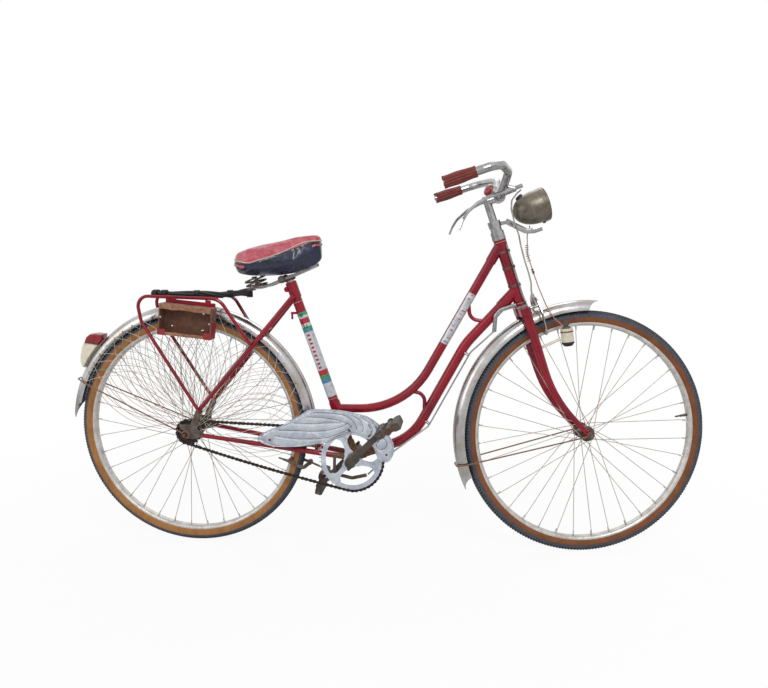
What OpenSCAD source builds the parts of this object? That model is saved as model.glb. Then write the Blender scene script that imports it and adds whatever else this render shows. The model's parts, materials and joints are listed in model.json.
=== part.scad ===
// A step-through roadster bicycle, built from its tubes, wheels and fittings.
// The origin is on the rider's seat; +X points forward, +Y to the rider's left and +Z up.

/* [Wheels] */
// Distance between the two hubs
wheelbase = 1150; // [1000:1:1400]
// Radius of the tyres at the tread
wheel_r = 348; // [285:1:430]
// Width of the tyres
tyre_w = 37; // [30:0.5:46]
// Height of the tyre above the rim's edge
tyre_h = 32; // [26:0.5:38]
// Width of the rims
rim_w = 26; // [20:0.5:32]
// Depth of the rims
rim_depth = 11; // [8:0.5:20]
// Diameter of the spokes
spoke_d = 2; // [1.6:0.1:2.4]
// Diameter of the axles
axle_d = 9.5; // [8:0.5:12]

/* [Frame] */
// Distance from the tread to the bottom bracket's centre
bb_gap = 142; // [110:1:180]
// Depth of the bottom bracket below the hubs
bb_drop = 78; // [50:1:95]
// Angle of the seat tube
seat_angle = 71.5; // [68:0.5:76]
// Length of the seat tube
seat_tube_l = 543; // [450:1:660]
// Diameter of the seat and down tubes
main_d = 28.6; // [24:0.1:34]
// Diameter of the top tube
top_d = 25.4; // [22:0.1:30]
// Height of the top tube's joint on the seat tube
top_tube_low = 151; // [130:1:190]
// Length of the level part of the top tube, to its bend
top_tube_flat = 204; // [180:1:240]
// Diameter of the seat stays
seat_stay_d = 15; // [12:0.5:17]
// Diameter of the chain stays at the bottom bracket
chain_stay_d = 17; // [14:0.5:18]
// Distance between the inner faces of the rear fork ends
rear_width = 116; // [110:1:135]
// Thickness of the fork ends
end_t = 5; // [4:0.5:7]

/* [Steering] */
// Angle of the head tube
head_angle = 72; // [66:0.5:76]
// Length of the head tube
head_tube_l = 193; // [160:1:235]
// Diameter of the head tube
head_d = 31.8; // [30:0.1:36]
// Diameter of the steerer
steerer_d = 25.4; // [22:0.1:26]
// Offset of the front hub ahead of the steering axis
fork_rake = 62; // [45:1:75]
// Distance along the steering axis from the tread to the head tube
crown_gap = 55; // [50:1:75]
// Distance between the inner faces of the front fork ends
front_width = 98; // [94:1:110]
// Angle that the fork and front wheel are turned to the left at rest
steer_rest = 10; // [0:1:20]
// Angle that the bars are turned to the left at rest
bar_rest = 4.5; // [0:0.5:20]
// Diameter of the handlebar
bar_d = 22.2; // [20:0.1:25.4]
// Height of the handlebar's clamp above the head tube's lower end
bar_height = 304; // [290:1:360]
// Length of a grip
grip_l = 84; // [75:1:110]

/* [Drive] */
// Teeth on the chainring
ring_teeth = 46; // [40:1:50]
// Teeth on the rear sprocket
cog_teeth = 18; // [14:1:20]
// Distance from the middle plane to the chain
chain_line = 46; // [45:0.5:50]
// Length of a crank between its two holes
crank_l = 170; // [140:1:175]
// Angle of the right crank above the level, pointing forward
crank_rest = 45; // [0:1:90]

/* [Guards] */
// Distance from the tread to the top of a mudguard
guard_gap = 28; // [20:1:29]
// Width of a mudguard
guard_w = 52; // [46:1:56]

/* [Hidden] */

// Colours
crimson = "#9c1530";
chrome_grey = "#b9bcc0";
alloy = "#b4b6ba";
rust = "#7b5a48";
black = "#22252b";
grip_red = "#8a3832";
cream = "#eae2d4";

// Roundness of tubes, wheels and small parts
tube_fn = 48;
wheel_fn = 160;
small_fn = 24;

// Clearances: a shaft in its bearing, a seated piece, and moving pieces
run_gap = 0.05;
seat_gap = 0.3;
move_gap = 5;

// The rider's seat, measured forward from the rear hub and up from the road
rider_x = 270;
rider_z = 901;

function unit(v) = v / norm(v);
function mid(a, b, t = 0.5) = a + (b - a) * t;
// A point x forward of the rear hub and z above the road
function road(x, y, z) = [x - rider_x, y, z - rider_z];

// Main points of the frame
rear_hub = road(0, 0, wheel_r);
front_hub = rear_hub + [wheelbase, 0, 0];
bb_reach = sqrt(pow(wheel_r + bb_gap, 2) - pow(bb_drop, 2));
bb = rear_hub + [bb_reach, 0, -bb_drop];
seat_dir = [-cos(seat_angle), 0, sin(seat_angle)];
seat_top = bb + seat_dir * seat_tube_l;
steer_dir = [-cos(head_angle), 0, sin(head_angle)];
ahead_dir = [sin(head_angle), 0, cos(head_angle)];
head_low = front_hub - ahead_dir * fork_rake + steer_dir * (wheel_r + crown_gap);
head_top = head_low + steer_dir * head_tube_l;

// Points measured from a main point
function at_rear(x, y, z) = rear_hub + [x, y, z];
function at_front(x, y, z) = front_hub + [x, y, z];
function at_bb(x, y, z) = bb + [x, y, z];
function at_seat(x, y, z) = seat_top + [x, y, z];
// f ahead of the steering axis, y to the left, w up the axis from the head tube's lower end
function at_head(f, y, w) = head_low + ahead_dir * f + [0, y, 0] + steer_dir * w;

// Wheels
rim_out_r = wheel_r - tyre_h;
rim_in_r = rim_out_r - rim_depth;
spoke_count = 36;
axle_r = axle_d / 2;
front_flange_r = 20;
front_flange_y = 29;
rear_flange_r = 24;
rear_flange_y = 30;
flange_t = 3;

// Drive
chain_pitch = 12.7;
function pitch_r(teeth) = chain_pitch / (2 * sin(180 / teeth));
ring_r = pitch_r(ring_teeth);
cog_r = pitch_r(cog_teeth);
tooth_t = 2;
spindle_r = 8;
shell_r = 20;
shell_half = 34;
boss_in = 51;
arm_in = 65;
arm_t = 10;
pedal_axle_r = 6;
pedal_w = 92;

// Guards
guard_r = wheel_r + guard_gap;
guard_depth = guard_gap;
guard_t = 1.2;

// Head and fork
race_h = 5;
crown_h = 21;
cup_h = 10;
lock_h = 44;
blade_y = 41;
front_end_y = front_width / 2;
quill_r = 11;
clamp_f = 34;
post_d = 25.4;
post_top = 18;

// Shapes shared by the sub-parts

// A round bar from a to b, tapering from radius r1 to radius r2
module rod(a, b, r1, r2 = undef, n = tube_fn) {
    v = b - a;
    translate(a)
        rotate([0, acos(v[2] / norm(v)), atan2(v[1], v[0])])
            cylinder(h = norm(v), r1 = r1, r2 = r2 == undef ? r1 : r2, $fn = n);
}

// A cylinder across the bicycle, centred at c, from y1 to y2 along Y
module across(c, r, y1, y2, n = tube_fn) {
    translate([c[0], y2, c[2]])
        rotate([90, 0, 0])
            cylinder(h = y2 - y1, r = r, $fn = n);
}

// An outline drawn in X and Z about c, made solid from y1 to y2
module plate(c, y1, y2) {
    translate([c[0], y2, c[2]])
        rotate([90, 0, 0])
            linear_extrude(y2 - y1) children();
}

// A ring about c in the X-Z plane, from an outline drawn as [radius, -y]
module spun(c, start = 0, angle = 360) {
    translate(c)
        rotate([90, 0, 0])
            rotate_extrude(start = start, angle = angle, $fn = wheel_fn) children();
}

// Corners rounded to radius r, with a point every step degrees
function turn_at(a, b, c) = acos(max(-1, min(1, unit(b - a) * unit(c - b))));
function corner(a, b, c, r, step = 9) =
    let (
        t = turn_at(a, b, c),
        u = unit(b - a),
        v = unit(c - b),
        side = cross(unit(cross(u, v)), u),
        start = b - u * r * tan(t / 2),
        n = max(2, ceil(t / step))
    )
    [for (i = [0 : n]) start + side * r * (1 - cos(t * i / n)) + u * r * sin(t * i / n)];
function bent(points, r, step = 9) = [
    points[0],
    for (i = [1 : len(points) - 2])
        each corner(points[i - 1], points[i], points[i + 1], is_list(r) ? r[i - 1] : r, step),
    points[len(points) - 1],
];

// Directions along a path, and directions square to them that don't twist
function directions(path) =
    let (last = len(path) - 1)
    [for (i = [0 : last])
        unit((i > 0 ? unit(path[i] - path[i - 1]) : [0, 0, 0])
            + (i < last ? unit(path[i + 1] - path[i]) : [0, 0, 0]))];
function square_to(v, d) = unit(v - (v * d) * d);
function sides(dirs, first) =
    [for (i = 0, s = square_to(first, dirs[0]);
        i < len(dirs);
        i = i + 1, s = square_to(s, dirs[min(i, len(dirs) - 1)])) s];

// A bar swept along a path; size is its diameter, or a list of [width along first, depth]
module swept(path, size, first = [0, 1, 0], n = 16) {
    dirs = directions(path);
    across_dirs = sides(dirs, first);
    last = len(path) - 1;
    function size_at(i) = is_list(size) ? size[i] : [size, size];
    rings = [for (i = [0 : last], k = [0 : n - 1])
        let (s = across_dirs[i], up = cross(dirs[i], s), a = 360 * (k + 0.5) / n)
        path[i] + s * size_at(i)[0] / 2 * cos(a) + up * size_at(i)[1] / 2 * sin(a)];
    polyhedron(
        points = rings,
        faces = concat(
            [[for (k = [0 : n - 1]) k]],
            [[for (k = [n - 1 : -1 : 0]) last * n + k]],
            [for (i = [0 : last - 1], k = [0 : n - 1])
                let (j = (k + 1) % n, a = i * n, b = a + n)
                each [[a + k, b + k, b + j], [a + k, b + j, a + j]]]
        ),
        convexity = 6
    );
}

// What turns with the fork is drawn straight ahead and then turned to the left
module steered() {
    translate(head_low)
        rotate(a = steer_rest, v = steer_dir)
            translate(-head_low) children();
}

// The bars are turned by their own angle, since the stem is clamped a little off the wheel's line
module bars_turned() {
    translate(head_low)
        rotate(a = bar_rest, v = steer_dir)
            translate(-head_low) children();
}

// A point of the bars, seen from the fork that steered() turns
function from_bars(p) = let (v = p - head_low, k = steer_dir, a = bar_rest - steer_rest)
    head_low + v * cos(a) + cross(k, v) * sin(a) + k * (k * v) * (1 - cos(a));

// A hexagon nut on an axle across the bicycle
module nut(c, y1, y2, flats = 15) {
    across(c, flats / sqrt(3), y1, y2, 6);
}

// Frame

top_joint = head_low + steer_dir * (head_tube_l - 12);
top_foot = bb + seat_dir * top_tube_low;
top_bend = top_foot + [top_tube_flat, 0, 0];
top_path = bent([top_joint, top_bend, top_foot], 230, 6);
down_joint = head_low + steer_dir * 44;
down_bend_high = down_joint + [-140, 0, -150];
down_bend_low = at_bb(174, 0, 57);
down_path = bent([down_joint, down_bend_high, down_bend_low, bb], [200, 160], 6);
lug_t = 2;
lug_l = 44;
head_bore_r = head_d / 2 - 1.6;

// Socket of a lug round a tube that leaves joint towards the point to
module socket(joint, to, d, l = lug_l) {
    rod(joint, joint + unit(to - joint) * l, d / 2 + lug_t);
}

// The head tube's outside, with its two collars
module head_outside() {
    rod(head_low, head_top, head_d / 2);
    rod(head_low, head_low + steer_dir * 12, head_d / 2 + lug_t);
    rod(head_top - steer_dir * 26, head_top, head_d / 2 + lug_t);
}

module head_tube() {
    color(crimson) difference() {
        union() {
            head_outside();
            socket(top_joint, top_bend, top_d, 58);
            socket(down_joint, down_bend_high, main_d, 62);
        }
        rod(head_low - steer_dir, head_top + steer_dir, head_bore_r);
        rod(top_joint, mid(top_joint, top_bend), top_d / 2 + run_gap);
        rod(down_joint, mid(down_joint, down_bend_high), main_d / 2 + run_gap);
        // the sockets end flush with the tube's two ends
        rod(head_top, head_top + steer_dir * 40, head_d * 1.5);
    }
}

module head_cups() {
    color(chrome_grey) {
        for (end = [[head_low, -1], [head_top, 1]])
            difference() {
                union() {
                    rod(end[0], end[0] + steer_dir * end[1] * cup_h, head_d / 2 + 3.5);
                    rod(end[0] - steer_dir * end[1] * 12, end[0], head_bore_r - run_gap);
                }
                rod(end[0] - steer_dir * 40, end[0] + steer_dir * 40, steerer_d / 2 + run_gap);
                // room for the fork's race in the lower cup
                if (end[1] < 0)
                    rod(end[0] - steer_dir * 20, end[0] - steer_dir * race_h, head_d);
            }
    }
}

module top_tube() {
    color(crimson) difference() {
        swept(top_path, top_d, n = 24);
        head_outside();
        rod(bb, seat_top, main_d / 2 + lug_t);
    }
}

module down_tube() {
    color(crimson) difference() {
        swept(down_path, main_d, n = 24);
        head_outside();
        across(bb, shell_r, -60, 60);
        socket(bb, seat_top, main_d, 45);
        down_socket();
    }
}

// Socket of the bottom bracket that the down tube is brazed against
module down_socket() {
    rod(bb, bb + unit(down_bend_low - bb) * 36, main_d / 2 + lug_t);
}

module seat_tube() {
    color(crimson) {
        difference() {
            union() {
                rod(bb + seat_dir * 10, seat_top, main_d / 2);
                // seat lug and its pinch ears
                rod(seat_top - seat_dir * 48, seat_top, main_d / 2 + lug_t);
                plate(seat_top - seat_dir * 22 - [main_d / 2 + 3, 0, 0], -9, 9)
                    circle(r = 8, $fn = small_fn);
                // lug under the top tube's foot
                rod(top_foot - seat_dir * 20, top_foot + seat_dir * 22, main_d / 2 + lug_t);
                // pump peg
                rod(seat_top - seat_dir * 95, seat_top - seat_dir * 95 - [32, 0, 0], 3.5, n = small_fn);
                rod(seat_top - seat_dir * 95 - [29, 0, 0], seat_top - seat_dir * 95 - [29, 0, 18],
                    3, n = small_fn);
            }
            rod(bb, seat_top + seat_dir * 5, post_d / 2 + run_gap);
            across(bb, shell_r, -60, 60);
            socket(bb, seat_top, main_d, 45);
        }
    }
}

brace_d = 11;
brace_high = bent([
    mid(top_joint, top_bend, 0.33),
    mid(top_joint, top_bend, 0.33) + [4, 0, -54],
    down_joint + [-84, 0, -86],
], 26);
brace_low = bent([
    top_bend + [4, 0, 54],
    top_bend + [56, 0, 45],
    down_bend_low + [36, 0, 76],
], 26);

module frame_braces() {
    color(crimson) for (path = [brace_high, brace_low])
        difference() {
            swept(path, brace_d);
            swept(top_path, top_d, n = 24);
            swept(down_path, main_d, n = 24);
        }
}

module bottom_bracket() {
    color(crimson) difference() {
        union() {
            across(bb, shell_r, -shell_half, shell_half);
            difference() {
                socket(bb, seat_top, main_d, 45);
                rod(bb + seat_dir * 10, bb + seat_dir * 60, main_d / 2);
            }
            difference() {
                down_socket();
                // the down tube stands on the socket's end face
                rod(bb, bb + seat_dir * 60, main_d / 2);
            }
        }
        across(bb, spindle_r + run_gap, -60, 60);
    }
}

stay_end_y = rear_width / 2 + end_t / 2;
chain_stay_rear = at_rear(47, 0, -6);
seat_stay_rear = at_rear(43, 0, 74);
seat_stay_top = seat_top - seat_dir * 40;
chain_stay_y = 22.5;
seat_stay_y = 21;

module chain_stay(side, grow = 0) {
    rod(bb + [0, side * chain_stay_y, 0], chain_stay_rear + [0, side * stay_end_y, 0],
        chain_stay_d / 2 + grow, chain_stay_d / 2 - 2.5 + grow);
}

module seat_stay(side, grow = 0) {
    rod(seat_stay_top + [0, side * seat_stay_y, 0], seat_stay_rear + [0, side * stay_end_y, 0],
        seat_stay_d / 2 + grow, seat_stay_d / 2 - 1 + grow);
}

module chain_stays() {
    color(crimson) difference() {
        union() {
            for (side = [-1, 1]) chain_stay(side);
            across(chain_bridge, bridge_r, -30, 30, small_fn);
            guard_bolt(chain_bridge);
        }
        across(bb, shell_r, -60, 60);
        socket(bb, seat_top, main_d, 45);
    }
}

module seat_stays() {
    color(crimson) difference() {
        union() {
            for (side = [-1, 1]) seat_stay(side);
            across(seat_bridge, bridge_r, -32, 32, small_fn);
            guard_bolt(seat_bridge);
        }
        rod(bb, seat_top, main_d / 2 + lug_t);
    }
}

module rear_fork_ends() {
    color(rust) for (side = [-1, 1])
        difference() {
            plate(rear_hub, side * stay_end_y - end_t / 2, side * stay_end_y + end_t / 2)
                difference() {
                    union() {
                        polygon([[-24, 26], [-6, -15], [18, -17], [48, -12], [50, 2], [32, 12], [34, 34], [50, 64], [50, 78], [37, 78], [20, 46], [12, 26]]);
                        circle(r = 17, $fn = small_fn * 2);
                    }
                    // slot that the axle slides in
                    circle(r = axle_r + seat_gap, $fn = small_fn);
                    translate([-30, 0]) square([30, 2 * (axle_r + seat_gap)], center = false);
                }
            // the two stays are brazed into the fork end
            chain_stay(side);
            seat_stay(side);
        }
}

// An axle with its nuts outside the fork ends
module axle(hub, half, end_y, outer, end_l) {
    difference() {
        union() {
            across(hub, axle_r, -half, half);
            for (side = [-1, 1]) {
                // the thread's end is turned down
                across(hub, axle_r - 0.4, side > 0 ? half : -half - end_l, side > 0 ? half + end_l : -half);
                nut(hub, side > 0 ? end_y + outer : -end_y - outer - 8,
                    side > 0 ? end_y + outer + 8 : -end_y - outer);
                // cone and locknut inside the fork end
                across(hub, 8, side > 0 ? end_y - 6 : -end_y + seat_gap,
                    side > 0 ? end_y - seat_gap : -end_y + 6);
            }
        }
    }
}

module rear_axle() {
    color(rust) axle(rear_hub, rear_width / 2 + end_t + 15, rear_width / 2, end_t + 7, 10);
}

module seat_post() {
    color(chrome_grey) {
        rod(seat_top - seat_dir * 70, seat_top + seat_dir * post_top, post_d / 2);
    }
}

// Saddle

// Saddle stations: [x from the seat tube's top, half width, top, edge, bottom, all above it]
saddle_stations = [
    [-160, 30, 84, 66, 40],
    [-147, 66, 97, 60, 26],
    [-112, 92, 110, 60, 20],
    [-66, 95, 116, 62, 20],
    [-20, 78, 121, 78, 20],
    [20, 54, 129, 94, 26],
    [58, 36, 137, 114, 38],
    [86, 26, 140, 126, 54],
    [97, 14, 132, 118, 66],
];
function saddle_ring(s) = [
    for (side = [-1, 1])
        each let (w = side * s[1], order = side < 0 ? [0, 1, 2, 3] : [3, 2, 1, 0])
            [for (k = order)
                k == 0 ? at_seat(s[0], w * 0.55, s[4])
                : k == 1 ? at_seat(s[0], w * 0.95, mid(s[4], s[3]))
                : k == 2 ? at_seat(s[0], w, s[3])
                : at_seat(s[0], w * 0.6, mid(s[3], s[2], 0.75))],
];

module saddle_cover() {
    n = 8;
    last = len(saddle_stations) - 1;
    color("#7a2438") polyhedron(
        points = [for (s = saddle_stations) each saddle_ring(s)],
        faces = concat(
            [[for (k = [0 : n - 1]) k]],
            [[for (k = [n - 1 : -1 : 0]) last * n + k]],
            [for (i = [0 : last - 1], k = [0 : n - 1])
                let (j = (k + 1) % n, a = i * n, b = a + n)
                each [[a + k, b + k, b + j], [a + k, b + j, a + j]]]
        ),
        convexity = 4
    );
}

wire_d = 7;
// Each side's rail: from the nose, down past the clamp, and back up to the rear spring
function rail(side) = bent([
    at_seat(80, side * 10, 46.4),
    at_seat(34, side * 18, 18.5),
    at_seat(-26, side * 24, 2),
    at_seat(-70, side * 44, -16),
    at_seat(-104, side * 52, -14),
    at_seat(-118, side * 56, 19.8),
], 12, 20);

module saddle_springs() {
    color(chrome_grey) {
        for (side = [-1, 1]) {
            swept(rail(side), wire_d, n = 10);
        }
        difference() {
            union() {
                // clamp on the post, holding both rails
                rod(seat_top + seat_dir * 4, seat_top + seat_dir * (post_top + 2), post_d / 2 + 5);
                across(at_seat(-20, 0, 9), 7, -34, 34);
            }
            rod(seat_top, seat_top + seat_dir * 60, post_d / 2 + run_gap);
            for (side = [-1, 1]) swept(rail(side), wire_d, n = 10);
        }
    }
}

// Mudguards

// Cross-section of a guard, as [radius, -y]: a rolled arch with a centre ridge
module guard_section(w, top_r = guard_r, t = guard_t) {
    r = (pow(guard_w / 2, 2) + pow(guard_depth, 2)) / (2 * guard_depth);
    difference() {
        union() {
            translate([top_r - r, 0]) circle(r = r, $fn = 64);
            translate([top_r - 1.5, 0]) circle(r = 2.5, $fn = small_fn);
        }
        translate([top_r - r, 0]) circle(r = r - t, $fn = 64);
        translate([top_r - r - 100, -100]) square([100 + r - guard_depth, 200]);
        for (side = [-1, 1])
            translate([top_r - 50, side * (w / 2 + 50)]) square([200, 100], center = true);
    }
}

// A guard round a hub from start to end; an end with a tip narrows to a point over that angle
module guard(hub, start, end, tip_before, tip_after) {
    difference() {
        spun(hub, start - tip_before, end - start + tip_before + tip_after) guard_section(guard_w);
        if (tip_after > 0) tip_cut(hub, end + tip_after, tip_after, 0);
        if (tip_before > 0) tip_cut(hub, start - tip_before, tip_before, 1);
    }
}

module tip_cut(hub, angle, tip, before) {
    slant = atan(2 * guard_r * sin(tip) / guard_w);
    translate(hub)
        rotate([0, -angle, 0])
            translate([guard_r - 45, 0, 0])
                for (side = [0, 1])
                    mirror([0, side, 0]) mirror([0, 0, before])
                        {
                            rotate([-slant, 0, 0]) cube([60, 70, 90]);
                            translate([0, -1, -0.8]) cube([60, 60, 90]);
                        }
}

// How far a line from p along d must go to lie r from a hub, with p measured from that hub
function reach(p, d, r) = -(p * d) + sqrt(pow(p * d, 2) - p * p + r * r);

bolt_r_small = 4;
bridge_r = 5;
bridge_gap = 11;
seat_stay_dir = unit(seat_stay_top - seat_stay_rear);
seat_bridge = seat_stay_rear
    + seat_stay_dir * reach(seat_stay_rear - rear_hub, seat_stay_dir, guard_r + bridge_gap);
chain_stay_dir = unit(bb - chain_stay_rear);
chain_bridge = chain_stay_rear
    + chain_stay_dir * reach(chain_stay_rear - rear_hub, chain_stay_dir, guard_r + bridge_gap);

// Bolt that holds the rear guard to a bridge between two stays
module guard_bolt(bridge) {
    out = unit(bridge - rear_hub);
    rod(rear_hub + out * (guard_r + 1 + seat_gap), bridge - out * 2, bolt_r_small, n = small_fn);
}

rear_guard_start = -7.5;
rear_guard_end = 167;

module rear_mudguard() {
    color(alloy) {
        guard(rear_hub, rear_guard_start, rear_guard_end, 0, 8.5);
        // tab that reaches the bridge between the chain stays
        spun(rear_hub, rear_guard_start - 3.2, 3.4) guard_section(18);
    }
}

module front_mudguard() {
    color(alloy) steered() guard(front_hub, 89, 200, 5, 5);
}

// A wire stay: from the axle on one side, round the guard at angle, to the other side
function stay_path(hub, angle, end_y, foot, r) = let (
        out = hub + [cos(angle), 0, sin(angle)] * (guard_r + 3.5),
        turn = hub + [cos(angle), 0, sin(angle)] * (guard_r - 24)
    ) bent([
        hub + foot + [0, -end_y, 0],
        turn + [0, -guard_w / 2 - 7, 0],
        out + [0, -guard_w / 2 + 6, 0],
        out + [0, guard_w / 2 - 6, 0],
        turn + [0, guard_w / 2 + 7, 0],
        hub + foot + [0, end_y, 0],
    ], r, 18);

module guard_stay(hub, angle, end_y, foot) {
    swept(stay_path(hub, angle, end_y, foot, 6), 4, n = 8);
    for (side = [-1, 1])
        difference() {
            across(hub, 9.5, side * end_y - 1.5, side * end_y + 1.5, small_fn);
            across(hub, axle_r + seat_gap, side * end_y - 5, side * end_y + 5, small_fn);
        }
}

module rear_guard_stays() {
    y = rear_width / 2 + end_t + 3.5;
    color(rust) guard_stay(rear_hub, 156, y, [-7, 0, 0]);
}

module front_guard_stays() {
    y = front_end_y + end_t + 3;
    color(rust) steered() guard_stay(front_hub, 193, y, [-7, 0, -3]);
}

// Rear lamp

lamp_half_w = 21;

module lamp_outline() {
    polygon([[-266, 288], [-312, 289], [-336, 254], [-343, 226], [-346, 184], [-330, 170]]);
}

module rear_lamp() {
    color(cream) difference() {
        plate(rear_hub, -lamp_half_w, lamp_half_w) lamp_outline();
        across(rear_hub, guard_r + 1.2, -60, 60, wheel_fn);
        lens_block(0);
    }
}

module lens_block(gap) {
    plate(rear_hub, -60, 60)
        polygon([[-262, 300], [-330, 300], [-360, 251 + gap], [-310, 250 + gap]]);
}

module rear_lamp_lens() {
    color("#a81a2c") intersection() {
        difference() {
            plate(rear_hub, -lamp_half_w, lamp_half_w) lamp_outline();
            across(rear_hub, guard_r + 1.2, -60, 60, wheel_fn);
        }
        lens_block(0);
    }
}

// Rack

rack_d = 10;
rack_y = 65;
rack_bar_r = 3.5;
rack_top = 401;
rack_slope = 0.042;

// Each side's rail: up from the fork end, along the top, and down to the seat stay
function rack_rail(side) = bent([
    at_rear(43, side * (rack_y + 4.1), 68),
    at_rear(-116, side * rack_y, 330),
    at_rear(-128, side * rack_y, rack_top + 5),
    at_rear(118, side * rack_y, rack_top - 6),
    at_rear(198, side * (rack_y - 11.7), 262),
], [40, 30, 45]);

module rack_rails() {
    color(crimson) for (side = [-1, 1]) swept(rack_rail(side), rack_d, n = 12);
}

// Height of the bars that lie across the rack, at x from the rear hub
function bar_z(x) = rack_top - rack_slope * x;

module rack_bars() {
    color(crimson) difference() {
        union() {
            for (x = [-68, 18, 104])
                rod(at_rear(x, -rack_y, bar_z(x)), at_rear(x, rack_y, bar_z(x)), rack_bar_r, n = small_fn);
            for (y = [-22, 22])
                rod(at_rear(-84, y, bar_z(-84)), at_rear(116, y, bar_z(116)), 3, n = small_fn);
        }
        for (side = [-1, 1]) swept(rack_rail(side), rack_d + 2 * seat_gap, n = 12);
    }
}

// The worn rubber strap that lies along the rack
strap_t = 11;
function strap_point(x, y, lift = 0) = at_rear(x, y, bar_z(x) + rack_bar_r + seat_gap + strap_t / 2 + lift);
strap_path = [
    strap_point(-82, -42, -1),
    strap_point(-66, -46),
    strap_point(-30, -46),
    strap_point(40, -44),
    strap_point(90, -36),
    strap_point(130, -18, 1),
    strap_point(172, 0, 1),
    strap_point(190, 5, 3),
];

module rack_strap() {
    color(black) swept(strap_path, [for (p = strap_path) [26, strap_t]], n = 10);
}

// Tool case

case_l = 154;
case_h = 88;
case_depth = 38;
case_wall = 3.5;
case_tilt = 6.5;

module case_place() {
    translate(at_rear(-41, -rack_y - rack_d / 2 - seat_gap, 388))
        rotate([0, case_tilt, 0]) children();
}

module tool_case() {
    color("#6b4030") case_place() difference() {
        translate([0, -case_depth, -case_h]) cube([case_l, case_depth, case_h]);
        translate([case_wall, -case_depth - 1, -case_h + case_wall])
            cube([case_l - 2 * case_wall, case_depth - case_wall + 1, case_h - 2 * case_wall]);
    }
    // tabs that hold the case to the rack's rail
    color("#6b4030") case_place() for (x = [18, case_l - 34])
        translate([x, -2.5, -6]) cube([16, 2.5, 24]);
}

// Chain, chainguard

// Points round part of a circle, from angle a to angle b
function arc(c, r, a, b, n) = [for (i = [0 : n]) c + r * [cos(a + (b - a) * i / n), sin(a + (b - a) * i / n)]];

// The chain's line round the two sprockets: how it leans, and where it leaves them
chain_run = norm([bb[0] - rear_hub[0], bb[2] - rear_hub[2]]);
chain_lean = atan2(bb[2] - rear_hub[2], bb[0] - rear_hub[0]);
chain_open = acos((ring_r - cog_r) / chain_run);

// Outline of a belt round the two sprockets, grown by g
module belt(g) {
    polygon(concat(
        arc([bb[0] - rear_hub[0], bb[2] - rear_hub[2]], ring_r + g,
            chain_lean - chain_open, chain_lean + chain_open, 40),
        arc([0, 0], cog_r + g, chain_lean + chain_open, chain_lean + 360 - chain_open, 24)
    ));
}

plate_in = 1.8;
plate_t = 1.4;
chain_half_h = 4.2;
module chain() {
    color("#33261f") {
        for (side = [-1, 1])
            plate(rear_hub,
                -chain_line + (side > 0 ? plate_in : -plate_in - plate_t),
                -chain_line + (side > 0 ? plate_in + plate_t : -plate_in))
                difference() {
                    belt(chain_half_h);
                    belt(-chain_half_h);
                }
        // pins that tie the plates along the two free runs
        for (sense = [-1, 1], k = [0.2, 0.4, 0.6, 0.8])
            let (
                a = chain_lean + sense * chain_open,
                from = rear_hub + cog_r * [cos(a), 0, sin(a)],
                to = bb + ring_r * [cos(a), 0, sin(a)]
            )
            across(mid(from, to, k), 2.5, -chain_line - plate_in - 0.7, -chain_line + plate_in + 0.7,
                small_fn);
    }
}

chainguard_in = 57;
chainguard_t = 1.5;

module chainguard() {
    color(alloy) {
        plate(bb, -chainguard_in - chainguard_t, -chainguard_in)
            polygon([
                [-272, 63], [-240, 88], [-180, 110], [-153, 129], [-116, 150], [-70, 152],
                [-20, 148], [22, 140], [55, 130], [86, 108], [107, 85], [122, 56], [124, 30],
                [113, 6], [98, 1], [82, 10], [72, 32], [66, 56], [49, 71], [27, 86], [8, 87],
                [-12, 87], [-40, 76], [-68, 62], [-96, 53], [-130, 47], [-180, 42], [-236, 45],
            ]);
        // spacer to the chain stay
        difference() {
            across(at_bb(-226, 0, 45), 6, -chainguard_in, -40, small_fn);
            chain_stay(-1, seat_gap);
        }
    }
}

// Brakes

module pad(c, y1, y2) {
    across(c, 6, y1, y2, small_fn);
}

rear_pad_x = 299;

module rear_brake() {
    pad_at = at_rear(rear_pad_x, 0, -86);
    pivot = at_rear(352, 0, -100);
    color(rust) {
        for (side = [-1, 1]) {
            swept(bent([
                pivot + [0, side * 6, 0],
                pivot + [-14, side * 33, -8],
                pad_at + [0, side * 30, -6],
                pad_at + [-8, side * 26, 0],
            ], 8, 20), [for (i = [0 : 40]) [6, 12]], n = 8);
        }
        across(pivot, 7, -9, 9, small_fn);
        // rod to the bell crank that hangs from the chain stay, and its arm
        rod(pivot + [4, -4, 0], at_rear(427, -16, -126), 3, n = small_fn);
        difference() {
            rod(at_rear(431, -26, -72), at_rear(427, -16, -130), 4.5, n = small_fn);
            chain_stay(-1, seat_gap);
        }
        swept(bent([
            at_rear(424, -16, -126), at_rear(446, -16, -134), at_rear(480, -16, -142), at_rear(523, -16, -132),
        ], 20, 15), [for (i = [0 : 20]) [6, 11]], n = 8);
    }
    color(black) for (side = [-1, 1])
        pad(pad_at, side > 0 ? rim_w / 2 + 2 : -rim_w / 2 - 14, side > 0 ? rim_w / 2 + 14 : -rim_w / 2 - 2);
}

// The brake rod runs from the bell crank, on two clips below the down tube, to an elbow at the head
rod_low = at_rear(601, -18, -61);
rod_bend = at_rear(706, -18, 18);
rod_high = at_rear(827, -15, 234);
elbow_low = at_rear(893, -21, 293);
elbow_path = bent([
    elbow_low, at_rear(896, -21, 338), at_rear(909, -21, 354), at_head(-12, -21, 8),
], 9, 20);

// Foot of a clip: the point of the down tube's line nearest to p, between two points of that line
function foot(p, a, b) = a + (b - a) * ((p - a) * (b - a)) / ((b - a) * (b - a));

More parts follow.
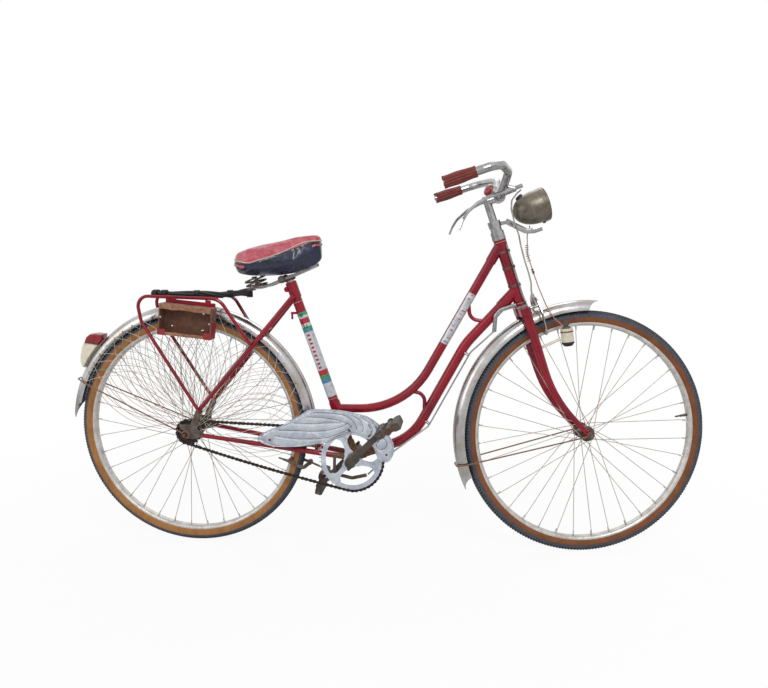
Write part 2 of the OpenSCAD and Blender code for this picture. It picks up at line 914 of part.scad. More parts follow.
module brake_rods() {
    color(chrome_grey) {
        swept(bent([at_rear(527, -16, -130), rod_low, rod_bend, rod_high, elbow_low + [0, 0, 2]], 30, 15), 5, n = 8);
        swept(elbow_path, [for (i = [0 : 40]) [10, 12]], n = 12);
        difference() {
            for (p = [mid(rod_bend, rod_high, 0.03), mid(rod_bend, rod_high, 0.96)])
                rod(foot(p, down_bend_low, down_bend_high), p, 4, n = small_fn);
            swept(down_path, main_d + 2 * seat_gap, n = 24);
        }
    }
}

// Fork

// Places children with +Z up the steering axis and +X ahead, w above the head tube's lower end
module on_axis(w) {
    translate(head_low + steer_dir * w) rotate([0, head_angle - 90, 0]) children();
}

crown_depth = 30;

module crown_block() {
    on_axis(-race_h - 0.5 - crown_h) linear_extrude(crown_h) {
        circle(r = head_d / 2 + 3, $fn = tube_fn);
        square([crown_depth, 2 * blade_y], center = true);
        for (side = [-1, 1]) translate([0, side * blade_y]) circle(d = crown_depth, $fn = tube_fn);
    }
}

module fork_crown() {
    color(crimson) steered() difference() {
        union() {
            crown_block();
            on_axis(-race_h - 1)
                cylinder(r = steerer_d / 2, h = head_tube_l + cup_h + lock_h + race_h - 5, $fn = tube_fn);
        }
        // bore that the quill stem enters from above
        on_axis(head_tube_l - 30) cylinder(r = quill_r + run_gap, h = 200, $fn = tube_fn);
    }
}

blade_top = -race_h - 0.5 - crown_h / 2;
fork_tip = at_head(fork_rake, 0, -wheel_r - crown_gap);
blade_bend = at_head(0, 0, -wheel_r - crown_gap + 130);
blade_mid_path = bent([at_head(0, 0, blade_top), blade_bend, fork_tip], 350, 4);
blade_last = len(blade_mid_path) - 1;

function blade_path(side) = [for (i = [0 : blade_last])
    blade_mid_path[i] + [0, side * (blade_y + (front_end_y + end_t / 2 - blade_y) * i / blade_last), 0]];

module fork_blades() {
    color(crimson) steered() for (side = [-1, 1])
        difference() {
            union() {
                swept(blade_path(side), [for (i = [0 : blade_last])
                    let (t = i == 0 ? 0 : norm(blade_mid_path[i] - blade_mid_path[0])
                        / norm(fork_tip - blade_mid_path[0]))
                    [18 - 12 * t, 28 - 14 * t]], n = 16);
                across(front_hub, 11, side > 0 ? front_end_y : -front_end_y - end_t,
                    side > 0 ? front_end_y + end_t : -front_end_y, small_fn * 2);
            }
            across(front_hub, axle_r + seat_gap, -100, 100, small_fn);
            // faces that the axle's nuts bear on
            across(front_hub, 14, side > 0 ? front_end_y + end_t : -front_end_y - end_t - 10,
                side > 0 ? front_end_y + end_t + 10 : -front_end_y - end_t);
            across(front_hub, 14, side > 0 ? front_end_y - 10 : -front_end_y,
                side > 0 ? front_end_y : -front_end_y + 10);
            // the blades are brazed to the crown's shoulders
            crown_block();
        }
}

module front_axle() {
    color(rust) steered() axle(front_hub, front_end_y + end_t + 14, front_end_y, end_t + 6, 4);
}

module headset_nut() {
    color(chrome_grey) steered() difference() {
        union() {
            rod(head_top + steer_dir * (cup_h + 0.5), head_top + steer_dir * (cup_h + 14), 19);
            rod(head_top + steer_dir * (cup_h + 14), head_top + steer_dir * (cup_h + 26), 16);
            rod(head_top + steer_dir * (cup_h + 26), head_top + steer_dir * (cup_h + lock_h), 18, n = 6);
        }
        rod(head_top, head_top + steer_dir * (cup_h + lock_h - 6), steerer_d / 2 + run_gap);
        rod(head_top, head_top + steer_dir * 200, quill_r + run_gap);
    }
}

// Bars

clamp_w = 34;
bar_clamp = at_head(clamp_f, 0, bar_height);

module stem() {
    color(chrome_grey) bars_turned() difference() {
        union() {
            rod(at_head(0, 0, head_tube_l - 20), at_head(0, 0, bar_height + 14), quill_r);
            rod(at_head(0, 0, bar_height), bar_clamp, 12);
            across(bar_clamp, bar_d / 2 + 5, -clamp_w / 2, clamp_w / 2);
        }
        across(bar_clamp, bar_d / 2 + run_gap, -60, 60);
    }
}

// Middle and end of a grip, as [ahead, out, up]
grip_bend = [26, 260, 67.5];
grip_end = [-117, 244, 69];
bar_rise = [61, 119, 50.6];
function bar_point(p, side) = at_head(p[0], side * p[1], bar_height + p[2]);
function bar_path(side) = bent([
    bar_point([clamp_f, 0, 0], side),
    bar_point([clamp_f, 32, 0], side),
    bar_point(bar_rise, side),
    bar_point(grip_bend, side),
    bar_point(grip_end, side),
], [30, 57, 48]);

module handlebar() {
    color(chrome_grey) bars_turned() for (side = [-1, 1])
        swept(bar_path(side), bar_d, first = ahead_dir, n = 16);
}

// A grip is a sleeve on the last part of the bar
grip_r = 15.5;
module grip(side) {
    path = bar_path(side);
    end = path[len(path) - 1];
    dir = unit(end - path[len(path) - 2]);
    color(grip_red) bars_turned() difference() {
        rod(end - dir * grip_l, end + dir * 3, grip_r);
        rod(end - dir * (grip_l + 10), end + dir * 10, bar_d / 2 + run_gap);
    }
}

module grip_left() { grip(1); }
module grip_right() { grip(-1); }

function lever_path(side) = bent([for (p = [
    [94, 54, 8], [70, 70, 7], [47, 86, 6], [-7, 120, 5], [-45, 156, -1],
    [-79, 190, -16], [-98, 203, -32], [-113, 210, -50],
]) bar_point(p, side)], 24, 20);

module brake_levers() {
    color(chrome_grey) bars_turned() for (side = [-1, 1]) {
        path = lever_path(side);
        last = len(path) - 1;
        swept(path, [for (i = [0 : last]) [12 - 5 * i / last, 7 - 2 * i / last]], first = steer_dir, n = 8);
        // bracket under the bar that the lever turns in
        difference() {
            rod(mid(bar_point([clamp_f, 32, 0], side), bar_point(bar_rise, side), 0.42),
                bar_point([70, 70, 6], side), 7);
            swept(bar_path(side), bar_d + 2 * seat_gap, first = ahead_dir, n = 16);
        }
    }
}

module bell() {
    foot = mid(bar_point([clamp_f, 32, 0], 1), bar_point(bar_rise, 1), 0.16);
    up = unit(steer_dir - ahead_dir * 0.9 - [0, 0.5, 0]);
    color(chrome_grey) bars_turned() difference() {
        union() {
            rod(foot, foot + up * (bar_d / 2 + 9), 5);
            rod(foot + up * (bar_d / 2 + 8), foot + up * (bar_d / 2 + 20), 21, 17);
        }
        swept(bar_path(1), bar_d + 2 * seat_gap, first = ahead_dir, n = 16);
    }
}

// Front lamp

lamp_r = 46;
lamp_l = 94;
lamp_tilt = 17;
lamp_at = at_head(152, 0, 246);

// The lamp's own frame: its axis along +Z, pointing out of the lens
module lamp_place() {
    steered() translate(lamp_at) rotate([0, 90 - lamp_tilt, 0]) children();
}

module headlamp() {
    color("#6f675c") lamp_place() difference() {
        rotate_extrude($fn = 96) polygon([
            [0, -lamp_l], [17, -lamp_l + 2], [30, -lamp_l + 11], [39, -lamp_l + 27],
            [44, -lamp_l + 50], [lamp_r + 1.5, -20], [lamp_r + 1.5, -8], [lamp_r, 0], [0, 0],
        ]);
        translate([0, 0, -8]) cylinder(r = lamp_r - 5, h = 20, $fn = 96);
    }
    color("#6f675c") lamp_place() translate([38, 0, -40]) rotate([0, 90, 0])
        cylinder(r = 7, h = 14, $fn = small_fn);
}

module headlamp_lens() {
    color("#dfe4e6") lamp_place() translate([0, 0, -7.7]) cylinder(r = lamp_r - 5.3, h = 8, $fn = 96);
}

module lamp_bracket() {
    color(chrome_grey) steered() {
        swept(bent([
            at_head(18.9, 0, 237), at_head(34, 0, 236), at_head(59, 0, 211), at_head(78, 0, 193),
            at_head(100, 0, 186.4), at_head(124, 0, 186.4),
        ], 12, 20), [for (i = [0 : 40]) [5, 17]], n = 8);
    }
}

// Front brake and dynamo

module front_brake() {
    color(alloy) steered() {
        for (side = [-1, 1]) {
            path = bent([
                at_head(40, side * 4, 16),
                at_head(41, side * 30, 2),
                at_head(41, side * 46, -36),
                at_head(37, side * 46, -80),
                at_head(38, side * 28, -94),
            ], 14, 20);
            swept(path, [for (p = path) [7, 12]], first = ahead_dir, n = 8);
        }
        rod(at_head(head_d / 2 + 3 + seat_gap, 0, -16), at_head(46, 0, -16), 5, n = small_fn);
        rod(at_head(41, 0, -20), at_head(41, 0, 20), 5, n = small_fn);
    }
    color(black) steered() for (side = [-1, 1])
        pad(at_head(40, 0, -93), side > 0 ? rim_w / 2 + 2 : -rim_w / 2 - 12,
            side > 0 ? rim_w / 2 + 12 : -rim_w / 2 - 2);
}

dynamo_low = [84, -46, -136];
dynamo_high = [92, -46, -96];

module dynamo() {
    color(cream) steered() {
        rod(at_head(dynamo_low[0], dynamo_low[1], dynamo_low[2]),
            at_head(dynamo_high[0], dynamo_high[1], dynamo_high[2]), 17);
        // bracket to the fork blade
        rod(at_head(13, -44, -124), at_head(80, -46, -118), 4, n = small_fn);
    }
}

// Cables

brake_cable_path = [
    from_bars(at_head(88, -57, 302)), from_bars(at_head(76, -48, 297)), from_bars(at_head(60, -32, 284)),
    at_head(52, -22, 262), at_head(50, -20, 225), at_head(52, -16, 190),
    at_head(51, -6, 161), at_head(50, 0, 120), at_head(50, 0, 78), at_head(48, 0, 50),
    at_head(42, 0, 30), at_head(41, 0, 20.5),
];

module brake_cable() {
    color("#c9c6c0") steered() swept(brake_cable_path, 4.5, n = 8);
}

lead_path = [
    at_head(96, 14, 202.6), at_head(93, 14, 194), at_head(82, 15, 180), at_head(66, 13, 130),
    at_head(66, 12, 70), at_head(66, 6, 30), at_head(64, -20, -20), at_head(70, -40, -60),
    at_head(86, -46, -88), at_head(91, -46, -95),
];

module lamp_lead() {
    color("#b98a86") steered() swept(lead_path, 3, n = 8);
}

// Wheels

module tyre(hub) {
    color(black) spun(hub) difference() {
        translate([wheel_r - tyre_w / 2, 0]) circle(d = tyre_w, $fn = 64);
        translate([rim_out_r - 60, -50]) square([60, 100]);
    }
}

module rim(hub) {
    h = rim_w / 2;
    color(alloy) spun(hub) polygon([
        [rim_in_r, -h + 6], [rim_in_r, h - 6], [rim_in_r + 3, h - 2], [rim_in_r + 6, h],
        [rim_out_r, h], [rim_out_r, -h], [rim_in_r + 6, -h], [rim_in_r + 3, -h + 2],
    ]);
}

// Spokes laced three-cross between two flanges
module spokes(hub, flange_r, flange_y) {
    step = 360 / spoke_count;
    for (i = [0 : spoke_count - 1]) {
        side = i % 2 == 0 ? 1 : -1;
        outer = floor(i / 2) % 2 == 0 ? 1 : -1;
        at_rim = i * step + step / 2;
        at_hub = at_rim + outer * 6 * step;
        rod(
            hub + [flange_r * cos(at_hub), side * (flange_y + outer * (flange_t / 2 + spoke_d / 2 + 0.45)),
                flange_r * sin(at_hub)],
            hub + [(rim_in_r - 0.4) * cos(at_rim), side * 2, (rim_in_r - 0.4) * sin(at_rim)],
            spoke_d / 2, n = 16
        );
    }
}

module hub_body(hub, flange_r, flange_y, barrel_r, half) {
    difference() {
        union() {
            across(hub, barrel_r, -half, half);
            for (side = [-1, 1])
                across(hub, flange_r + 2, side * flange_y - flange_t / 2, side * flange_y + flange_t / 2);
        }
        across(hub, axle_r + run_gap, -half - 1, half + 1);
    }
}

module front_tyre() { steered() tyre(front_hub); }
module front_rim() { steered() rim(front_hub); }
module front_spokes() { color(rust) steered() spokes(front_hub, front_flange_r, front_flange_y); }
module front_hub() { color(rust) steered() hub_body(front_hub, front_flange_r, front_flange_y, 13, front_end_y - 7); }
module rear_tyre() { tyre(rear_hub); }
module rear_rim() { rim(rear_hub); }
module rear_spokes() { color(rust) spokes(rear_hub, rear_flange_r, rear_flange_y); }
module rear_hub() { color(rust) hub_body(rear_hub, rear_flange_r, rear_flange_y, 15, rear_width / 2 - 7); }

// A toothed disc: teeth stand from the root to the tip radius
module toothed(teeth) {
    r = pitch_r(teeth);
    root = r - 3.4;
    tip = r + 3;
    step = 360 / teeth;
    polygon([for (i = [0 : teeth - 1]) each [
        for (p = [[0.14, root], [0.36, root], [0.44, tip], [0.56, tip], [0.64, root], [0.86, root]])
            p[1] * [cos((i + p[0]) * step), sin((i + p[0]) * step)]]]);
}

module rear_sprocket() {
    color(black) difference() {
        plate(rear_hub, -chain_line - tooth_t / 2, -chain_line + tooth_t / 2) toothed(cog_teeth);
        across(rear_hub, 15, -chain_line - 20, -chain_line + 20);
    }
}

// Cranks and pedals

spider_rest = 108;
bolt_r = 61;
spider_t = 4;

// One arm of the spider, with its bolt's eye, drawn along X
module spider_arm() {
    polygon([[0, -16], [24, -13], [34, -7.5], [bolt_r, -6.5], [bolt_r, 6.5], [34, 7.5], [24, 13], [0, 16]]);
    translate([bolt_r, 0]) circle(r = 9, $fn = tube_fn);
}

// The chainring, bolted to its three-arm spider
module chainring() {
    color(alloy) {
        plate(bb, -chain_line - tooth_t / 2, -chain_line + tooth_t / 2) difference() {
            toothed(ring_teeth);
            difference() {
                circle(r = ring_r - 17, $fn = wheel_fn);
                // tabs that reach in to the bolts
                for (k = [0 : 2]) rotate(spider_rest + 120 * k)
                    polygon([[bolt_r, -8], [ring_r - 26, -15], [ring_r - 14, -27],
                        [ring_r - 14, 27], [ring_r - 26, 15], [bolt_r, 8]]);
                for (k = [0 : 2]) rotate(spider_rest + 120 * k)
                    translate([bolt_r, 0]) circle(r = 8, $fn = tube_fn);
            }
        }
        plate(bb, -chain_line - tooth_t / 2 - spider_t, -chain_line - tooth_t / 2) difference() {
            union() {
                circle(r = 22, $fn = tube_fn);
                for (k = [0 : 2]) rotate(spider_rest + 120 * k) spider_arm();
            }
            circle(r = spindle_r + run_gap, $fn = tube_fn);
        }
        for (k = [0 : 2])
            across(bb + bolt_r * [cos(spider_rest + 120 * k), 0, sin(spider_rest + 120 * k)], 4,
                -chain_line - tooth_t / 2 - spider_t - 2, -chain_line + tooth_t / 2 + 1.5, small_fn);
    }
}

function crank_end(side) = bb + (side < 0 ? 1 : -1) * crank_l * [cos(crank_rest), 0, sin(crank_rest)];
function span_y(side, a, b) = side > 0 ? [a, b] : [-b, -a];

module crank(side) {
    eye = crank_end(side);
    boss = span_y(side, boss_in, arm_in + arm_t + 1);
    arm = span_y(side, arm_in, arm_in + arm_t);
    pin = span_y(side, arm_in + arm_t, arm_in + arm_t + pedal_w + 12);
    lean = side < 0 ? crank_rest : crank_rest + 180;
    across(bb, 16, boss[0], boss[1]);
    plate(bb, arm[0], arm[1]) rotate(lean) polygon([[0, -10.5], [crank_l, -7], [crank_l, 7], [0, 10.5]]);
    across(eye, 11, arm[0], arm[1]);
    across(eye, pedal_axle_r, pin[0], pin[1]);
    // cotter pin
    translate([bb[0], mid(boss[0], boss[1]), bb[2]]) rotate([0, 90 - lean, 0])
        translate([11, 0, 0]) cylinder(r = 4.5, h = 46, center = true, $fn = small_fn);
}

module crank_right() {
    color(rust) {
        crank(-1);
        across(bb, spindle_r, -boss_in, boss_in);
    }
}

module crank_left() {
    color(rust) crank(1);
}

module pedal(side, tilt) {
    c = crank_end(side);
    y = span_y(side, arm_in + arm_t + 5, arm_in + arm_t + 5 + pedal_w);
    ends = [y[0], y[1]];
    color(black) difference() {
        union() {
            across(c, 9, y[0], y[1]);
            for (e = [[y[0], y[0] + 3], [y[1] - 3, y[1]]])
                plate(c, e[0], e[1]) rotate(tilt) square([66, 15], center = true);
            for (k = [-1, 1])
                plate(c, y[0] + 3, y[1] - 3) rotate(tilt) translate([k * 25, 0])
                    square([21, 24], center = true);
        }
        across(c, pedal_axle_r + run_gap, y[0] - 1, y[1] + 1);
    }
}

module pedal_right() { pedal(-1, 28); }
module pedal_left() { pedal(1, 76); }

head_tube();
head_cups();
top_tube();
down_tube();
seat_tube();
frame_braces();
bottom_bracket();
chain_stays();
seat_stays();
rear_fork_ends();
rear_axle();
seat_post();
saddle_springs();
saddle_cover();
rear_mudguard();
rear_guard_stays();
rear_lamp();
rear_lamp_lens();
rack_rails();
rack_bars();
rack_strap();
tool_case();
chain();
chainguard();
rear_brake();
brake_rods();
fork_crown();
fork_blades();
headset_nut();
stem();
handlebar();
grip_left();
grip_right();
brake_levers();
bell();
headlamp();
headlamp_lens();
lamp_bracket();
front_mudguard();
front_guard_stays();
front_brake();
dynamo();
front_axle();
brake_cable();
lamp_lead();
front_tyre();
front_rim();
front_spokes();
front_hub();
rear_tyre();
rear_rim();
rear_spokes();
rear_hub();
rear_sprocket();
chainring();
crank_right();
crank_left();
pedal_right();
pedal_left();
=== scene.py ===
# Weathered step-through bicycle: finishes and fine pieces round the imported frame. Lengths in the value
# dictionaries are millimetres where they meet mm, else metres. Angles are degrees.
import json
import math
import random
import bpy
import bmesh
from mathutils import Matrix, Vector
from mathutils.bvhtree import BVHTree


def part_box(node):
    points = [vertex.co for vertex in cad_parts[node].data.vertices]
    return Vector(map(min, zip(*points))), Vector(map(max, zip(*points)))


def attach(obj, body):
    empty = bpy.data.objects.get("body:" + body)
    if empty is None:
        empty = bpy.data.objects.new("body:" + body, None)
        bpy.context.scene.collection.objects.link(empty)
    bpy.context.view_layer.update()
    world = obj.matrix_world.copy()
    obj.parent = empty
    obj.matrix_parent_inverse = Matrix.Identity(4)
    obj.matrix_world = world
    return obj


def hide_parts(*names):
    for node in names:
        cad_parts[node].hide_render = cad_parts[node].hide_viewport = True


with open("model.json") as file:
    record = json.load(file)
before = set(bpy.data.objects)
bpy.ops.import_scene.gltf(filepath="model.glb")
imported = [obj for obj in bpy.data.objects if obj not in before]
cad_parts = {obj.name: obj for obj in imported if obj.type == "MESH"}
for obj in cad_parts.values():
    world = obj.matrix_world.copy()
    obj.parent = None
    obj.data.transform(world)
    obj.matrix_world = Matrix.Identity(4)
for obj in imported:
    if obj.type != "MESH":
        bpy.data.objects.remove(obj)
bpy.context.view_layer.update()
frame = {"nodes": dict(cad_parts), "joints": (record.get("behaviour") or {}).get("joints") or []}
nodes = frame["nodes"]
mm = 0.001
print("frame loaded:", len(nodes), "nodes")

# Main places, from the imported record's joints
joints = {j["name"]: j for j in frame["joints"]}
rearHub = Vector(joints["rear_wheel_spin"]["pos_m"])
frontHub = Vector(joints["front_wheel_spin"]["pos_m"])
bracket = Vector(joints["crank_spin"]["pos_m"])
headLow = Vector(joints["steering"]["pos_m"])
steer = Vector(joints["steering"]["axis"])
ahead = Vector((steer.z, 0, -steer.x))
left = Vector((0, 1, 0))
forkTurn = Matrix.Rotation(math.acos(joints["front_wheel_spin"]["axis"][1]), 3, steer)
bikePlan = {"barTurn": 4.5, "seatAngle": 71.5, "seatTube": 0.543}
barTurn = Matrix.Rotation(math.radians(bikePlan["barTurn"]), 3, steer)
seatAngle = math.radians(bikePlan["seatAngle"])
seatDir = Vector((-math.cos(seatAngle), 0, math.sin(seatAngle)))
seatTop = bracket + seatDir * bikePlan["seatTube"]
straight = Matrix.Identity(3)


def headAt(f, y, w, turn=forkTurn):
    return headLow + turn @ ((ahead * f + left * y + steer * w) * mm)


def rearAt(x, y, z):
    return rearHub + Vector((x, y, z)) * mm


def seatAt(x, y, z):
    return seatTop + Vector((x, y, z)) * mm


def linear(hexValue, alpha=1.0):
    # sRGB hex to the linear colour that shaders take
    h = hexValue.lstrip("#")
    rgb = [int(h[i:i + 2], 16) / 255 for i in (0, 2, 4)]
    return [c / 12.92 if c <= 0.04045 else ((c + 0.055) / 1.055) ** 2.4 for c in rgb] + [alpha]


def addNode(tree, kind, settings=None, inputs=None):
    # inputs: socket name or number -> value, or an output socket to link from
    node = tree.nodes.new(kind)
    for key, value in (settings or {}).items():
        setattr(node, key, value)
    for key, value in (inputs or {}).items():
        if isinstance(value, bpy.types.NodeSocket):
            tree.links.new(value, node.inputs[key])
        else:
            node.inputs[key].default_value = value
    return node


def addObject(name, data):
    obj = bpy.data.objects.new(name, data)
    bpy.context.scene.collection.objects.link(obj)
    return obj


def crossAxes(axis):
    # two directions square to the axis
    one = left if abs(axis.y) < 0.9 else Vector((1, 0, 0))
    one = (one - axis * one.dot(axis)).normalized()
    return one, axis.cross(one)


def circle(one, two, count):
    # unit offsets round a ring
    turns = [2 * math.pi * k / count for k in range(count)]
    return [one * math.cos(a) + two * math.sin(a) for a in turns]


def softBox(wide, high, power, count):
    # outline between an ellipse (power 1) and a box (power 0), as (across, up) pairs
    pairs = []
    for k in range(count):
        c, s = math.cos(2 * math.pi * k / count), math.sin(2 * math.pi * k / count)
        pairs.append((wide * math.copysign(abs(c) ** power, c), high * math.copysign(abs(s) ** power, s)))
    return pairs


def tube(points, radius, sides=8, closed=False, capped=True):
    # a bar along points; radius is one number, or one number or (width, height) pair per point
    points = [Vector(p) for p in points]
    count = len(points)
    verts, faces = [], []
    side = None
    for i, p in enumerate(points):
        before = points[i - 1] if (i > 0 or closed) else points[i]
        after = points[(i + 1) % count] if (i < count - 1 or closed) else points[i]
        along = (after - before).normalized()
        if side is None:
            side = left if abs(along.y) < 0.9 else Vector((1, 0, 0))
        side = (side - along * side.dot(along)).normalized()
        up = along.cross(side)
        r = radius[i] if isinstance(radius, (list, tuple)) else radius
        wide, high = r if isinstance(r, tuple) else (r, r)
        for k in range(sides):
            a = 2 * math.pi * (k + 0.5) / sides
            verts.append(p + side * wide * math.cos(a) + up * high * math.sin(a))
    for i in range(count if closed else count - 1):
        j = (i + 1) % count
        for k in range(sides):
            m = (k + 1) % sides
            faces.append((i * sides + k, i * sides + m, j * sides + m, j * sides + k))
    if capped and not closed:
        faces.append(tuple(range(sides - 1, -1, -1)))
        faces.append(tuple((count - 1) * sides + k for k in range(sides)))
    return verts, faces


def lathe(profile, origin, axis, steps=48, closed=False):
    # profile is (radius, distance along the axis), in millimetres
    axis = Vector(axis).normalized()
    one, two = crossAxes(axis)
    rows = len(profile)
    verts = [Vector(origin) + axis * a * mm + spin * r * mm for spin in circle(one, two, steps)
        for r, a in profile]
    faces = []
    for k in range(steps):
        m = (k + 1) % steps
        for i in range(rows if closed else rows - 1):
            j = (i + 1) % rows
            faces.append((k * rows + i, m * rows + i, m * rows + j, k * rows + j))
    return verts, faces


def loft(rings, capped=True, closed=False):
    # rings of equal point counts, joined one to the next
    n = len(rings[0])
    verts = [Vector(p) for ring in rings for p in ring]
    faces = []
    for i in range(len(rings) if closed else len(rings) - 1):
        j = (i + 1) % len(rings)
        faces += [(i * n + k, i * n + (k + 1) % n, j * n + (k + 1) % n, j * n + k) for k in range(n)]
    if capped and not closed:
        faces.append(tuple(range(n - 1, -1, -1)))
        faces.append(tuple((len(rings) - 1) * n + k for k in range(n)))
    return verts, faces


def smoothLine(points, perSpan=6, closed=False):
    # Catmull-Rom points through the given ones
    pts = [Vector(p) for p in points]
    n = len(pts)
    line = []
    for i in range(n if closed else n - 1):
        a = pts[(i - 1) % n] if (closed or i > 0) else pts[0]
        b, c = pts[i], pts[(i + 1) % n]
        d = pts[(i + 2) % n] if (closed or i + 2 < n) else pts[-1]
        for k in range(perSpan):
            t = k / perSpan
            line.append(0.5 * ((2 * b) + (c - a) * t + (2 * a - 5 * b + 4 * c - d) * t * t
                + (3 * b - a - 3 * c + d) * t ** 3))
    if not closed:
        line.append(pts[-1])
    return line


def assemble(name, parts, body, replaced=(), crease=38):
    # parts are (verts, faces, material); sharp edges past the crease angle stay crisp
    mesh = bpy.data.meshes.new(name)
    verts, faces, marks, materials = [], [], [], []
    for v, f, material in parts:
        if material not in materials:
            materials.append(material)
        base = len(verts)
        verts += [tuple(p) for p in v]
        faces += [tuple(base + i for i in face) for face in f]
        marks += [materials.index(material)] * len(f)
    mesh.from_pydata(verts, [], faces)
    for material in materials:
        mesh.materials.append(material)
    mesh.polygons.foreach_set("material_index", marks)
    bm = bmesh.new()
    bm.from_mesh(mesh)
    bmesh.ops.remove_doubles(bm, verts=bm.verts, dist=2e-6)
    bmesh.ops.recalc_face_normals(bm, faces=bm.faces)
    for f in bm.faces:
        f.smooth = True
    for e in bm.edges:
        e.smooth = len(e.link_faces) != 2 or e.calc_face_angle(0) < math.radians(crease)
    bm.to_mesh(mesh)
    bm.free()
    obj = addObject(name, mesh)
    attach(obj, body)
    if replaced:
        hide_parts(*replaced)
    return obj


def repeatShape(name, shape, places, material, body, seed=1):
    # Geometry Nodes copies one shape onto points that carry a turn, realises it and sets the material
    verts, faces = shape
    source = bpy.data.meshes.new(name + "Shape")
    source.from_pydata([tuple(v) for v in verts], [], faces)
    for p in source.polygons:
        p.use_smooth = False
    sourceObj = bpy.data.objects.new(name + "Shape", source)
    cloud = bpy.data.meshes.new(name + "Points")
    cloud.from_pydata([tuple(m.to_translation()) for m in places], [], [])
    turns = cloud.attributes.new("turn", "FLOAT_VECTOR", "POINT")
    for i, m in enumerate(places):
        turns.data[i].vector = m.to_euler()
    cloudObj = addObject(name + "Points", cloud)
    tree = bpy.data.node_groups.new(name + "Tree", "GeometryNodeTree")
    tree.interface.new_socket("Geometry", in_out="INPUT", socket_type="NodeSocketGeometry")
    shapeSocket = tree.interface.new_socket("Shape", in_out="INPUT", socket_type="NodeSocketObject")
    materialSocket = tree.interface.new_socket("Material", in_out="INPUT", socket_type="NodeSocketMaterial")
    seedSocket = tree.interface.new_socket("Seed", in_out="INPUT", socket_type="NodeSocketInt")
    tree.interface.new_socket("Geometry", in_out="OUTPUT", socket_type="NodeSocketGeometry")
    given = addNode(tree, "NodeGroupInput")
    info = addNode(tree, "GeometryNodeObjectInfo", None, {"Object": given.outputs["Shape"]})
    turn = addNode(tree, "GeometryNodeInputNamedAttribute", {"data_type": "FLOAT_VECTOR"}, {"Name": "turn"})
    size = addNode(tree, "FunctionNodeRandomValue", {"data_type": "FLOAT"},
        {"Min": 0.97, "Max": 1.0, "Seed": given.outputs["Seed"]})
    copies = addNode(tree, "GeometryNodeInstanceOnPoints", None,
        {"Points": given.outputs["Geometry"], "Instance": info.outputs["Geometry"], "Rotation": turn.outputs[0],
        "Scale": [o for o in size.outputs if o.enabled][0]})
    real = addNode(tree, "GeometryNodeRealizeInstances", None, {"Geometry": copies.outputs[0]})
    painted = addNode(tree, "GeometryNodeSetMaterial", None,
        {"Geometry": real.outputs[0], "Material": given.outputs["Material"]})
    addNode(tree, "NodeGroupOutput", None, {"Geometry": painted.outputs[0]})
    modifier = cloudObj.modifiers.new("repeat", "NODES")
    modifier.node_group = tree
    modifier[shapeSocket.identifier] = sourceObj
    modifier[materialSocket.identifier] = material
    modifier[seedSocket.identifier] = seed
    bpy.context.view_layer.update()
    graph = bpy.context.evaluated_depsgraph_get()
    mesh = bpy.data.meshes.new_from_object(cloudObj.evaluated_get(graph), preserve_all_data_layers=True,
        depsgraph=graph)
    bpy.data.objects.remove(cloudObj)
    bpy.data.objects.remove(sourceObj)
    mesh.name = name
    mesh.materials.clear()
    mesh.materials.append(material)
    obj = addObject(name, mesh)
    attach(obj, body)
    return obj


